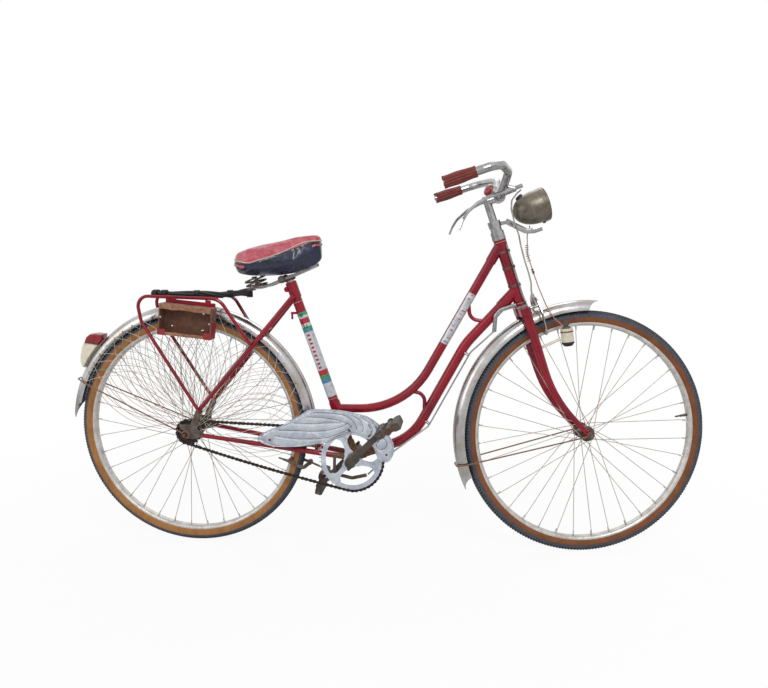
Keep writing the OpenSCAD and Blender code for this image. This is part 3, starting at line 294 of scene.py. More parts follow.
def weathered(name, base, second, rust=0.1, metallic=0.0, roughness=0.35, coat=0.0, light="#8a4a2a",
        dark="#3a2016", spot=4, dustAndHighlight="#a89a86", dustAndHighlightShare=0.1, bump=0.25, patch=60, hotSpots=(), dents=0.0,
        streak=0.0, clear=0.0, fade=None, gloss=0.5):
    # two tones, raised rough rust, a lighter colour on upward faces that is settled dust and on some finishes a
    # painted highlight, and where asked for fading, streaks, dents or clearness; sizes are in millimetres, and
    # hotSpots are (place, reach) pairs where the rust gathers.
    # Real rust grain is under a millimetre; grain and tone are drawn at 2.2 and 3.5 mm so that they show
    material = bpy.data.materials.new(name)
    material.use_nodes = True
    tree = material.node_tree
    tree.nodes.clear()
    shader = addNode(tree, "ShaderNodeBsdfPrincipled")
    addNode(tree, "ShaderNodeOutputMaterial", None, {"Surface": shader.outputs[0]})
    coords = addNode(tree, "ShaderNodeTexCoord").outputs["Object"]
    fields = {}
    for key, sizeMm, detail, shift in (("mottle", patch, 4, 0.0), ("patches", spot * 6, 9, 3.1),
            ("specks", spot, 9, 7.7), ("grain", 2.2, 6, 1.0), ("tone", 3.5, 6, 4.4), ("settle", 24, 7, 5.0)):
        moved = addNode(tree, "ShaderNodeMapping", None,
            {"Vector": coords, "Location": (shift, shift * 0.7, shift * 1.3)})
        fields[key] = addNode(tree, "ShaderNodeTexNoise", None,
            {"Vector": moved.outputs[0], "Scale": 1000.0 / sizeMm, "Detail": detail, "Roughness": 0.68,
            "Distortion": 0.35}).outputs["Fac"]
    share = addNode(tree, "ShaderNodeMapRange", None,
        {"Value": fields["mottle"], "From Min": 0.34, "From Max": 0.66}).outputs[0]
    colour = addNode(tree, "ShaderNodeMix", {"data_type": "RGBA"},
        {0: share, 6: linear(base), 7: linear(second)}).outputs[2]
    if fade:
        bleached = addNode(tree, "ShaderNodeMapRange", None,
            {"Value": fields["settle"], "From Min": 0.52, "From Max": 0.72, "To Max": fade[1]})
        colour = addNode(tree, "ShaderNodeMix", {"data_type": "RGBA"},
            {0: bleached.outputs[0], 6: colour, 7: linear(fade[0])}).outputs[2]
    if streak > 0:
        combed = addNode(tree, "ShaderNodeMapping", None, {"Vector": coords, "Scale": (1.0, 1.0, 0.12)})
        lines = addNode(tree, "ShaderNodeTexNoise", None,
            {"Vector": combed.outputs[0], "Scale": 260.0, "Detail": 5, "Roughness": 0.6})
        lined = addNode(tree, "ShaderNodeMapRange", None,
            {"Value": lines.outputs["Fac"], "From Min": 0.5, "From Max": 0.75, "To Max": streak})
        colour = addNode(tree, "ShaderNodeMix", {"data_type": "RGBA"},
            {0: lined.outputs[0], 6: colour, 7: linear(dustAndHighlight)}).outputs[2]
    big = addNode(tree, "ShaderNodeMath", {"operation": "MULTIPLY"}, {0: fields["patches"], 1: 0.6}).outputs[0]
    level = addNode(tree, "ShaderNodeMath", {"operation": "MULTIPLY_ADD"},
        {0: fields["specks"], 1: 0.4, 2: big}).outputs[0]
    for place, reach in hotSpots:
        away = addNode(tree, "ShaderNodeVectorMath", {"operation": "DISTANCE"},
            {0: coords, 1: tuple(place)}).outputs["Value"]
        near = addNode(tree, "ShaderNodeMapRange", None,
            {"Value": away, "From Min": reach * 0.35, "From Max": reach, "To Min": 0.36, "To Max": 0.0})
        level = addNode(tree, "ShaderNodeMath", {"operation": "ADD"}, {0: level, 1: near.outputs[0]}).outputs[0]
    edge = 0.68 - 0.34 * rust
    rusted = addNode(tree, "ShaderNodeMapRange", None,
        {"Value": level, "From Min": edge, "From Max": edge + 0.045}).outputs[0]
    toneShare = addNode(tree, "ShaderNodeMapRange", None,
        {"Value": fields["tone"], "From Min": 0.38, "From Max": 0.62}).outputs[0]
    rustTone = addNode(tree, "ShaderNodeMix", {"data_type": "RGBA"},
        {0: toneShare, 6: linear(dark), 7: linear(light)}).outputs[2]
    colour = addNode(tree, "ShaderNodeMix", {"data_type": "RGBA"},
        {0: rusted, 6: colour, 7: rustTone}).outputs[2]
    # upward faces take the lighter colour: settled dust, and on the red vinyl and the grips a painted highlight
    if dustAndHighlightShare > 0:
        facing = addNode(tree, "ShaderNodeNewGeometry").outputs["Normal"]
        up = addNode(tree, "ShaderNodeSeparateXYZ", None, {0: facing}).outputs[2]
        top = addNode(tree, "ShaderNodeMapRange", None,
            {"Value": up, "From Min": 0.1, "From Max": 0.95, "To Max": dustAndHighlightShare * 2.2}).outputs[0]
        patchy = addNode(tree, "ShaderNodeMapRange", None,
            {"Value": fields["settle"], "From Min": 0.4, "From Max": 0.66}).outputs[0]
        dustAndHighlightLaid = addNode(tree, "ShaderNodeMath", {"operation": "MULTIPLY", "use_clamp": True},
            {0: top, 1: patchy}).outputs[0]
        colour = addNode(tree, "ShaderNodeMix", {"data_type": "RGBA"},
            {0: dustAndHighlightLaid, 6: colour, 7: linear(dustAndHighlight)}).outputs[2]
    tree.links.new(colour, shader.inputs["Base Color"])
    dulled = addNode(tree, "ShaderNodeMath", {"operation": "MULTIPLY_ADD"},
        {0: fields["specks"], 1: 0.24, 2: roughness - 0.08}).outputs[0]
    addRough = addNode(tree, "ShaderNodeMix", {"data_type": "FLOAT"},
        {0: rusted, 2: dulled, 3: 0.92}).outputs[0]
    tree.links.new(addRough, shader.inputs["Roughness"])
    if metallic > 0:
        bare = addNode(tree, "ShaderNodeMix", {"data_type": "FLOAT"},
            {0: rusted, 2: metallic, 3: 0.05}).outputs[0]
        tree.links.new(bare, shader.inputs["Metallic"])
    shader.inputs["Specular IOR Level"].default_value = gloss
    if coat > 0:
        shader.inputs["Coat Weight"].default_value = coat
        shader.inputs["Coat Roughness"].default_value = 0.1
    if clear > 0:
        shader.inputs["Transmission Weight"].default_value = clear
    crust = addNode(tree, "ShaderNodeMath", {"operation": "MULTIPLY"},
        {0: rusted, 1: fields["grain"]}).outputs[0]
    relief = addNode(tree, "ShaderNodeMath", {"operation": "MULTIPLY_ADD"},
        {0: fields["specks"], 1: 0.2, 2: crust}).outputs[0]
    raised = addNode(tree, "ShaderNodeBump", None, {"Height": relief, "Distance": bump * mm, "Strength": 0.9})
    if dents > 0:
        dentField = addNode(tree, "ShaderNodeTexNoise", None,
            {"Vector": coords, "Scale": 22.0, "Detail": 2, "Roughness": 0.5})
        dented = addNode(tree, "ShaderNodeBump", None,
            {"Height": dentField.outputs["Fac"], "Distance": dents * mm, "Strength": 1.0})
        tree.links.new(dented.outputs[0], raised.inputs["Normal"])
    tree.links.new(raised.outputs[0], shader.inputs["Normal"])
    return material


lugSpots = [(bracket + Vector((0.02, 0, 0)), 0.15), (rearAt(43, 0, 60), 0.05),
    (headAt(10, 0, 2, straight), 0.028)]
# stove enamel on steel: deep crimson with a small glint, browned at the bottom bracket and the lugs
crimsonEnamel = weathered("crimsonStoveEnamel", "#980422", "#720018", -0.12, roughness=0.2, coat=0.12,
    gloss=0.35, spot=6, dustAndHighlight="#a9927f", dustAndHighlightShare=0.04, patch=110, bump=0.05, hotSpots=lugSpots,
    light="#8b6647", dark="#3d2419", fade=("#9c1c34", 0.12))
# chromium plate on bent steel: a grey mirror, clouded and pitted with brown specks
pittedChrome = weathered("pittedChrome", "#b5b5b8", "#8f8d8b", 0.06, metallic=1.0, roughness=0.17, spot=3,
    dustAndHighlightShare=0.08, patch=40, bump=0.04, light="#6e452f", dark="#3b2a22")
# rolled aluminium: a pale, bent mirror that shows the ground in bands
dentedAluminium = weathered("dentedAluminium", "#c2c2c5", "#a39c95", -0.05, metallic=0.95, roughness=0.2,
    spot=5, dustAndHighlight="#9a8878", patch=90, bump=0.02, dents=0.7)
# pressed aluminium gone chalky: whiter, with a soft cool shine
chalkyAluminium = weathered("chalkyAluminium", "#d3d8e0", "#aab2c0", -0.05, metallic=0.9, roughness=0.16,
    spot=7, dustAndHighlight="#8f7c69", dustAndHighlightShare=0.08, patch=34, bump=0.02, dents=1.2)
# road dirt packed in grooves: matt brown lines
groovedDirt = weathered("groovedDirt", "#7d6a57", "#5b4a3b", 0.2, metallic=0.2, roughness=0.6, patch=20)
# machined steel under red-brown rust: rough and dull, with bare grey places
rustedSteel = weathered("rustedSteel", "#4a3a32", "#6f6862", 0.5, metallic=0.45, roughness=0.55, spot=6,
    dustAndHighlightShare=0.15, patch=20, light="#7b5138", dark="#33221b", bump=0.5)
# oiled chain steel: near black, with brown crust in places
chainSteel = weathered("oiledRustyChain", "#17120f", "#2c201a", 0.25, metallic=0.35, roughness=0.5, spot=5,
    patch=30, light="#6d4526", dark="#1f1612", bump=0.3)
# forged cranks worn through their plating: dark brown-grey with a low shine
crankSteel = weathered("wornCrankSteel", "#3d3632", "#5a504a", 0.3, metallic=0.6, roughness=0.5, spot=7,
    dustAndHighlightShare=0.15, patch=26, light="#6a4634", dark="#3a2821", bump=0.4)
# drawn wire rusted all over: light brown and matt
rustedWire = weathered("rustedWire", "#7a5a48", "#8b6c58", 0.5, metallic=0.3, roughness=0.65, patch=14,
    light="#9a6b4a", dark="#5b3b2a", bump=0.2)
# galvanised wire: dulled silver lines with brown freckles
spokeSteel = weathered("dulledSpokes", "#c2b8b0", "#a89a8f", 0.12, metallic=0.4, roughness=0.45, patch=30,
    light="#8a6a55", dark="#57453a", bump=0.1)
# moulded black rubber: near black with a soft sheen and fine cracks
blackRubber = weathered("crackedBlackRubber", "#07080c", "#101218", 0.0, roughness=0.5, dustAndHighlight="#55555a",
    dustAndHighlightShare=0.06, patch=20, bump=0.35)
# dust between the tread blocks: greyer than the blocks, so that the pattern reads
dustyTread = weathered("dustyTreadBase", "#3a3f4b", "#4b4f5a", 0.0, roughness=0.7, patch=16)
# moulded pedal rubber: greyed, and dusty on top
greyRubber = weathered("greyedPedalRubber", "#3c3d3f", "#55524e", 0.12, roughness=0.75, spot=5, dustAndHighlight="#8a8078",
    dustAndHighlightShare=0.35, patch=16, bump=0.5, light="#6b5648", dark="#2a2522")
# gum rubber on cord: amber at the rear, streaked and a little dusty
gumWall = weathered("amberGumWall", "#a5703a", "#8d5c2c", 0.06, roughness=0.72, spot=5, dustAndHighlight="#caa77e",
    patch=45, light="#7d5029", dark="#5a3a20", streak=0.2)
# gum rubber on cord, older at the front: browner
brownWall = weathered("brownGumWall", "#834b26", "#6b3a19", 0.06, roughness=0.72, spot=5, dustAndHighlight="#b08a66",
    patch=45, light="#6d4020", dark="#4a2c18")
# plated rolled steel: pale grey with brown freckles
rimPlating = weathered("dulledRimPlating", "#d3d1ce", "#b0aba5", 0.12, metallic=0.55, dustAndHighlightShare=0.0, patch=24,
    light="#8a6a52", dark="#54443a")
# perished moulded rubber: matt red-brown, with a painted highlight in lighter red on its upward faces and the
# same red in streaks
redGrip = weathered("perishedRedRubber", "#5a1612", "#73241c", 0.0, roughness=0.55, dustAndHighlightShare=0.18, patch=14,
    dustAndHighlight="#a05a48", bump=0.7, streak=0.15)
# sprayed cream enamel, yellowed: warm and half glossy, with brown chips
creamEnamel = weathered("yellowedCream", "#e4dccb", "#cfc3ad", 0.08, coat=0.2, spot=5, dustAndHighlightShare=0.2, patch=26,
    light="#8b6a4c", dark="#5b4636")
# moulded acrylic, clouded: deep red that lets a little light in
redPlastic = weathered("cloudedRedPlastic", "#a0101f", "#7a0b18", 0.0, roughness=0.25, coat=0.4, spot=5,
    dustAndHighlightShare=0.25, patch=14, clear=0.15)
# leather over board: scuffed brown, paler where it is rubbed
brownBoard = weathered("wornBrownLeather", "#5e3b2b", "#7c553f", 0.1, roughness=0.65, spot=7, dustAndHighlightShare=0.3,
    patch=24, dustAndHighlight="#b09780", bump=0.7, light="#a17f66", dark="#3d261c")
# nickel plate on spun steel: gone brown and gold, with grey left in places
tarnished = weathered("tarnishedPlating", "#57524b", "#7c7566", 0.34, metallic=0.65, roughness=0.34, spot=8,
    dustAndHighlightShare=0.15, patch=20, light="#7a6747", dark="#3b352d", bump=0.2, dents=0.6)
# calendered vinyl: soft gloss, red faded to pink in patches, with a painted pink highlight on its upward faces
vinylRed = weathered("fadedRedVinylPaintedHighlight", "#b5374d", "#a02a40", 0.0, roughness=0.34, coat=0.3, spot=8,
    dustAndHighlightShare=0.25, patch=60, dustAndHighlight="#d99aa0", bump=0.15, fade=("#c9616f", 0.5))
# calendered vinyl: wrinkled dark blue with a strong gloss and lighter scuffs
navyVinyl = weathered("tornNavyVinyl", "#03133a", "#020a24", 0.0, roughness=0.26, coat=0.35, spot=9,
    dustAndHighlightShare=0.0, patch=36, bump=0.6, light="#8a7264", dark="#0a0d14", dents=3.0, fade=("#15315e", 0.35))
# woven piping: pale, matt and dusty
paleCord = weathered("palePiping", "#d9c7b4", "#bda58f", 0.0, roughness=0.6, patch=14)
# extruded plastic sheath: greyed, with a few brown marks
paleSheath = weathered("fadedCableSheath", "#b3aea6", "#8b8279", 0.1, roughness=0.5, patch=16, light="#8a6a52",
    dark="#5b4a3c")
# extruded PVC lead: red faded to a dusty pink
pinkWire = weathered("fadedPinkLead", "#b98078", "#9a665e", 0.0, roughness=0.55, patch=16)
# pressed lamp glass: pale and glossy, dulled by dust
lensGlass = weathered("dustyLensGlass", "#c3c9ca", "#aeb4b4", 0.0, roughness=0.12, coat=0.6, spot=6,
    dustAndHighlightShare=0.15, patch=30, clear=0.4)
# foil transfer: scuffed silver with red showing through
silverFoil = weathered("scuffedSilverDecal", "#cfd2d6", "#a9adb3", 0.06, metallic=0.35, dustAndHighlightShare=0.2, patch=16,
    light="#9b2036", dark="#5d0d1d")
# printed transfer inks: flat green and blue, chipped
greenInk, blueInk = (weathered(*row, 0.05, roughness=0.4, dustAndHighlightShare=0.15, patch=12)
    for row in (("greenDecalInk", "#2f7d55", "#3c9a74"), ("blueDecalInk", "#2f5f94", "#5c86b0")))
# printed transfer ink: red with a slight gloss
redInk = weathered("redDecalInk", "#b3182c", "#8e1022", 0.05, coat=0.2, dustAndHighlightShare=0.15, patch=12)
# lining paint: a thin cream line broken by wear
creamLine = weathered("creamLining", "#c9a99a", "#a9897c", 0.1, roughness=0.5, spot=3, patch=9)
# twisted cotton: matt strings in four faded colours
greenString, pinkString, paleString, brownString = (weathered(*row, 0.0, roughness=0.9, dustAndHighlightShare=0.0,
    patch=40) for row in (("greenString", "#5f9a7c", "#7fae92"), ("pinkString", "#d4a7a4", "#c38f90"),
    ("paleString", "#d7d2ca", "#bdb4a8"), ("brownString", "#8f7b68", "#a38f7b")))
# the same board's inside, out of the light: darker and matt
darkBoard = weathered("darkInnerBoard", "#4d2c20", "#6b4531", 0.05, roughness=0.7, spot=7, dustAndHighlightShare=0.15,
    patch=22, dustAndHighlight="#9a7d66", bump=0.7, light="#8b6650", dark="#2d1a14")
# board with its skin torn off: pale, ragged fibres
paleBoard = weathered("palefrayedBoard", "#a3785e", "#7b4f3b", 0.05, roughness=0.75, spot=5, dustAndHighlightShare=0.2,
    patch=12, bump=0.7, light="#c7a58a", dark="#5b3a2a")
# leathercloth corner patches: dull red with brown scuffs
patchRed = weathered("scuffedRedPatch", "#9a1424", "#7a0f1c", 0.08, roughness=0.45, coat=0.1, dustAndHighlightShare=0.2,
    patch=12, light="#6b3a2a", dark="#3d1a18")

finishes = {crimsonEnamel: ["head_tube", "top_tube", "down_tube", "seat_tube", "frame_braces", "bottom_bracket",
    "chain_stays", "seat_stays", "rack_rails", "rack_bars", "fork_crown", "fork_blades"],
    pittedChrome: ["head_cups", "seat_post", "saddle_springs", "headset_nut", "stem", "handlebar",
    "brake_levers", "brake_rods", "bell", "lamp_bracket"],
    dentedAluminium: ["rear_mudguard", "front_mudguard", "front_brake"],
    chalkyAluminium: ["chainguard", "chainring"],
    rustedSteel: ["rear_fork_ends", "rear_axle", "front_axle", "front_hub", "rear_hub", "rear_brake"],
    chainSteel: ["chain", "rear_sprocket"], crankSteel: ["crank_right", "crank_left"],
    rustedWire: ["rear_guard_stays", "front_guard_stays"], spokeSteel: ["front_spokes", "rear_spokes"],
    blackRubber: ["front_tyre", "rear_tyre", "rack_strap"], greyRubber: ["pedal_right", "pedal_left"],
    rimPlating: ["front_rim", "rear_rim"], redGrip: ["grip_left", "grip_right"],
    creamEnamel: ["rear_lamp", "dynamo"], redPlastic: ["rear_lamp_lens"], brownBoard: ["tool_case"],
    tarnished: ["headlamp"], vinylRed: ["saddle_cover"], paleSheath: ["brake_cable"], pinkWire: ["lamp_lead"],
    lensGlass: ["headlamp_lens"], }
for material, names in finishes.items():
    for name in names:
        nodes[name].data.materials.clear()
        nodes[name].data.materials.append(material)
print("finishes on the frame's nodes")

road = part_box("rear_tyre")[0][2]
stagePlan = {"floorHex": "#f4f4f4", "floorHalf": 40, "worldLevel": 0.5, "key": 70, "fill": 26, "back": 30,
    "whiteNear": 0.6, "whiteFar": 2.3}


def buildStage():
    floorMat = bpy.data.materials.new("paleFloor")
    floorMat.use_nodes = True
    tree = floorMat.node_tree
    tree.nodes.clear()
    matt = addNode(tree, "ShaderNodeBsdfDiffuse", None, {"Color": linear(stagePlan["floorHex"])})
    white = addNode(tree, "ShaderNodeEmission", None, {"Color": (1, 1, 1, 1), "Strength": 1.0})
    seen = addNode(tree, "ShaderNodeLightPath").outputs["Is Camera Ray"]
    away = addNode(tree, "ShaderNodeVectorMath", {"operation": "LENGTH"},
        {0: addNode(tree, "ShaderNodeTexCoord").outputs["Object"]}).outputs["Value"]
    far = addNode(tree, "ShaderNodeMapRange", {"interpolation_type": "SMOOTHSTEP"},
        {"Value": away, "From Min": stagePlan["whiteNear"], "From Max": stagePlan["whiteFar"], "To Min": 0.9})
    share = addNode(tree, "ShaderNodeMath", {"operation": "MULTIPLY"}, {0: seen, 1: far.outputs[0]})
    blend = addNode(tree, "ShaderNodeMixShader", None,
        {0: share.outputs[0], 1: matt.outputs[0], 2: white.outputs[0]})
    addNode(tree, "ShaderNodeOutputMaterial", None, {"Surface": blend.outputs[0]})
    mesh = bpy.data.meshes.new("floor")
    half = stagePlan["floorHalf"]
    mesh.from_pydata([(x * half, y * half, road) for x, y in ((-1, -1), (1, -1), (1, 1), (-1, 1))], [],
        [(0, 1, 2, 3)])
    mesh.materials.append(floorMat)
    addObject("floor", mesh)
    world = bpy.data.worlds.new("studio")
    bpy.context.scene.world = world
    world.use_nodes = True
    tree = world.node_tree
    background = tree.nodes["Background"]
    background.inputs[0].default_value = (1, 1, 1, 1)
    path = addNode(tree, "ShaderNodeLightPath")
    seen = addNode(tree, "ShaderNodeMath", {"operation": "ADD"},
        {0: path.outputs["Is Camera Ray"], 1: path.outputs["Is Glossy Ray"]})
    seen = addNode(tree, "ShaderNodeMath", {"operation": "ADD", "use_clamp": True},
        {0: seen.outputs[0], 1: path.outputs["Is Transmission Ray"]})
    level = addNode(tree, "ShaderNodeMix", {"data_type": "FLOAT"},
        {0: seen.outputs[0], 2: stagePlan["worldLevel"], 3: 1.0})
    tree.links.new(level.outputs[0], background.inputs[1])
    for name, place, aim, size, power in (("keyLight", (1.2, -3.2, 2.6), (0.2, 0, -0.3), 1.6, stagePlan["key"]),
            ("fillLight", (-3.0, -2.2, 1.2), (0, 0, -0.4), 2.2, stagePlan["fill"]),
            ("backLight", (0.4, 3.0, 2.6), (0, 0, -0.3), 2.0, stagePlan["back"])):
        light = bpy.data.lights.new(name, "AREA")
        light.size = size
        light.energy = power
        lamp = addObject(name, light)
        lamp.location = place
        lamp.rotation_euler = (Vector(aim) - Vector(place)).to_track_quat("-Z", "Y").to_euler()


cameraPlan = {"place": (532, -2069, 4), "yaw": 6.14, "pitch": -8.24, "roll": -0.95, "focal": 729, "wide": 768}


def buildCamera():
    yaw, pitch, roll = (math.radians(cameraPlan[k]) for k in ("yaw", "pitch", "roll"))
    turn = Matrix.Rotation(roll, 3, "Y") @ Matrix.Rotation(-pitch, 3, "X") @ Matrix.Rotation(-yaw, 3, "Z")
    cam = bpy.data.cameras.new("sideView")
    cam.sensor_fit = "HORIZONTAL"
    cam.sensor_width = 36
    cam.lens = cameraPlan["focal"] / cameraPlan["wide"] * cam.sensor_width
    cam.clip_start = 0.05
    obj = addObject("sideView", cam)
    right, onward, up = turn.row[0], turn.row[1], turn.row[2]
    basis = Matrix((right, up, -onward)).transposed().to_4x4()
    basis.translation = Vector(cameraPlan["place"]) * mm
    obj.matrix_world = basis
    bpy.context.scene.camera = obj


buildStage()
buildCamera()
bpy.context.scene.view_settings.view_transform = "Standard"
print("stage, lights and camera")

wheelLook = {"crown": 346.7, "blocks": 243, "nipples": 36, "nippleFoot": 292.5, "valveFoot": 271,
    "tread": ((336, 17.0), (341.3, 14.2), (344.8, 9.2), (346.4, 4), (346.7, 0)),
    "wall": ((324, 17.8), (318, 15.2), (314, 12.3)), "bead": ((314, 12.3), (315, 6), (315, -6), (314, -12.3)),
    "around": 144, "chevron": ((8.6, -16.6, -9.6), (6.4, -13.4, -4.7), (4.4, -9, -1.6), (2.2, -4.5, -0.2),
    (0, 0, 0), (2.2, 4.5, -0.2), (4.4, 9, -1.6), (6.4, 13.4, -4.7), (8.6, 16.6, -9.6))}


def buildWheel(side, hub, axis, body, wall, count, edge):
    # tyre with black tread over a gum wall, herringbone blocks, spoke nipples and the valve
    across = Vector(axis).normalized()
    onward = Vector((1, 0, 0)) - across * across.x
    onward.normalize()
    upward = onward.cross(across)

    def placesRound(number, shift, up, radius):
        # turned places round the wheel, each facing out
        places = []
        for k in range(number):
            a = 2 * math.pi * (k + shift) / number
            out = onward * math.cos(a) + up * math.sin(a)
            m = Matrix((across.cross(out), across, out)).transposed().to_4x4()
            m.translation = hub + out * radius * mm
            places.append(m)
        return places

    halfTread = [(edge, 18.2)] + list(wheelLook["tread"])
    treadRows = halfTread + [(r, -a) for r, a in reversed(halfTread[:-1])]
    wallRows = [(edge, 18.2)] + list(wheelLook["wall"])
    around = wheelLook["around"]
    parts = [lathe(treadRows, hub, across, around) + (dustyTread,)]
    for rows in (wallRows, [(r, -a) for r, a in wallRows], wheelLook["bead"]):
        parts.append(lathe(rows, hub, across, around) + (wall,))
    # raised moulding line on each wall
    for s in (1, -1):
        parts.append(lathe([(edge - 1 + 0.9 * math.cos(k * math.pi / 3),
            s * (18.0 + 0.8 * math.sin(k * math.pi / 3))) for k in range(6)], hub, across, around, True)
            + (wall,))
    assemble(side + "_tyre_rubber", parts, body, (side + "_tyre",))
    rings = []
    # each tread block is a chevron bent over the crown
    for x, y, z in wheelLook["chevron"]:
        rings.append([Vector((x - 2.3, y, z - 1)) * mm, Vector((x + 2.3, y, z - 1)) * mm,
            Vector((x + 1.7, y, z + 1.1)) * mm, Vector((x - 1.7, y, z + 1.1)) * mm])
    repeatShape(side + "_tread_blocks", loft(rings),
        placesRound(wheelLook["blocks"], 0, upward, wheelLook["crown"]), blackRubber, body)
    places = placesRound(wheelLook["nipples"], 0.5, -upward, wheelLook["nippleFoot"])
    repeatShape(side + "_nipples",
        lathe([(0.1, 0), (1.9, 0), (2.1, 8), (3.2, 11), (0.1, 12.4)], (0, 0, 0), (0, 0, 1), 8), places,
        rimPlating, body)
    # valve with its cap, hard by the rim
    a = math.radians(count)
    out = onward * math.cos(a) + upward * math.sin(a)
    assemble(side + "_valve",
        [lathe([(0.1, 0), (2.2, 0), (2.6, 3), (2.6, 14), (3.6, 15), (3.6, 24), (4.4, 26), (4.4, 33), (0.1, 33)],
        hub + out * wheelLook["valveFoot"] * mm, out, 12) + (rustedSteel,)], body)


buildWheel("rear", rearHub, (0, 1, 0), "rear_wheel", gumWall, -19, 332)
buildWheel("front", frontHub, forkTurn @ left, "front_wheel", brownWall, 8, 329)
print("wheels dressed")

chainLook = {"pitch": 12.7, "line": -46, "ringTeeth": 46, "cogTeeth": 18, "sag": 5, "ringSteps": 48,
    "cogSteps": 24, "runSteps": 24}


def buildChain():
    # plates and rollers along the belt line, the lower run slack
    pitch = chainLook["pitch"]
    big = pitch / 2 / math.sin(math.pi / chainLook["ringTeeth"])
    small = pitch / 2 / math.sin(math.pi / chainLook["cogTeeth"])
    run = (bracket - rearHub)
    lean = math.atan2(run.z, run.x)
    span = math.hypot(run.x, run.z) / mm
    opened = math.acos((big - small) / span)
    y = chainLook["line"]
    line = []
    for k in range(chainLook["ringSteps"] + 1):
        a = lean + opened - 2 * opened * k / chainLook["ringSteps"]
        line.append(bracket + Vector((big * math.cos(a), 0, big * math.sin(a))) * mm)
    lowStart = line[-1]
    lowEnd = rearHub + Vector((small * math.cos(lean - opened), 0, small * math.sin(lean - opened))) * mm
    for k in range(1, chainLook["runSteps"]):
        t = k / chainLook["runSteps"]
        line.append(lowStart.lerp(lowEnd, t) - Vector((0, 0, 4 * t * (1 - t) * chainLook["sag"])) * mm)
    topStart = rearHub + Vector((small * math.cos(lean + opened), 0, small * math.sin(lean + opened))) * mm
    for k in range(chainLook["cogSteps"] + 1):
        a = lean - opened - (2 * math.pi - 2 * opened) * k / chainLook["cogSteps"]
        line.append(rearHub + Vector((small * math.cos(a), 0, small * math.sin(a))) * mm)
    for k in range(1, chainLook["runSteps"]):
        line.append(topStart.lerp(line[0], k / chainLook["runSteps"]))
    total = 0
    marks = [0]
    for i in range(len(line)):
        total += (line[(i + 1) % len(line)] - line[i]).length
        marks.append(total)
    links = int(round(total / (pitch * mm) / 2)) * 2
    step = total / links

    def onLine(s):
        s = s % total
        for i in range(len(line)):
            if marks[i + 1] >= s:
                return line[i].lerp(line[(i + 1) % len(line)],
                    (s - marks[i]) / (marks[i + 1] - marks[i] + 1e-12))
        return line[0]

    inner, outer, rollers = [], [], []
    for i in range(links):
        a, b = onLine(i * step), onLine((i + 1) * step)
        along = (b - a).normalized()
        out = left.cross(along)
        m = Matrix((along, left, out)).transposed().to_4x4()
        m.translation = (a + b) / 2 + left * y * mm
        (inner if i % 2 else outer).append(m)
        r = m.copy()
        r.translation = a + left * y * mm
        rollers.append(r)

    def platesAt(gap, tall):
        verts, faces = [], []
        for s in (1, -1):
            ring = []
            for k in range(16):
                a = 2 * math.pi * k / 16
                waist = tall * (0.55 if abs(math.cos(a)) < 0.3 else 1.0)
                ring.append((6.2 * math.copysign(1, math.cos(a)) * (abs(math.cos(a)) > 0.05)
                    + 4.1 * math.cos(a), waist * math.sin(a)))
            v, f = loft([[Vector((x, s * gap, z)) * mm for x, z in ring],
                [Vector((x, s * (gap + 0.95), z)) * mm for x, z in ring]])
            faces += [tuple(len(verts) + i for i in face) for face in f]
            verts += v
        return verts, faces

    base = repeatShape("chain_outer_plates", platesAt(2.0, 5.0), outer, chainSteel, "frame", 2)
    repeatShape("chain_inner_plates", platesAt(1.0, 4.7), inner, chainSteel, "frame", 3)
    repeatShape("chain_rollers", lathe([(0.1, -3), (3.6, -3), (3.6, 3), (0.1, 3)], (0, 0, 0), (0, 1, 0), 10),
        rollers, chainSteel, "frame", 4)
    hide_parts("chain")


buildChain()
print("chain linked")

saddleLook = {"voxel": 5, "shrink": 0.965, "pressure": 4, "cap": 8, "frames": 20, "creases": 14,
    "creaseDeep": 3.5, "piping": 1.6, "flaps": ((0.9, 0.985, 5), (0.03, 0.2, 7)),
    "seam": ((0, 0.44), (0.1, 0.38), (0.27, 0.33), (0.58, 0.55), (0.87, 0.80), (1, 0.86))}


def applyModifiers(obj):
    graph = bpy.context.evaluated_depsgraph_get()
    result = bpy.data.meshes.new_from_object(obj.evaluated_get(graph))
    obj.modifiers.clear()
    obj.data = result
    return result


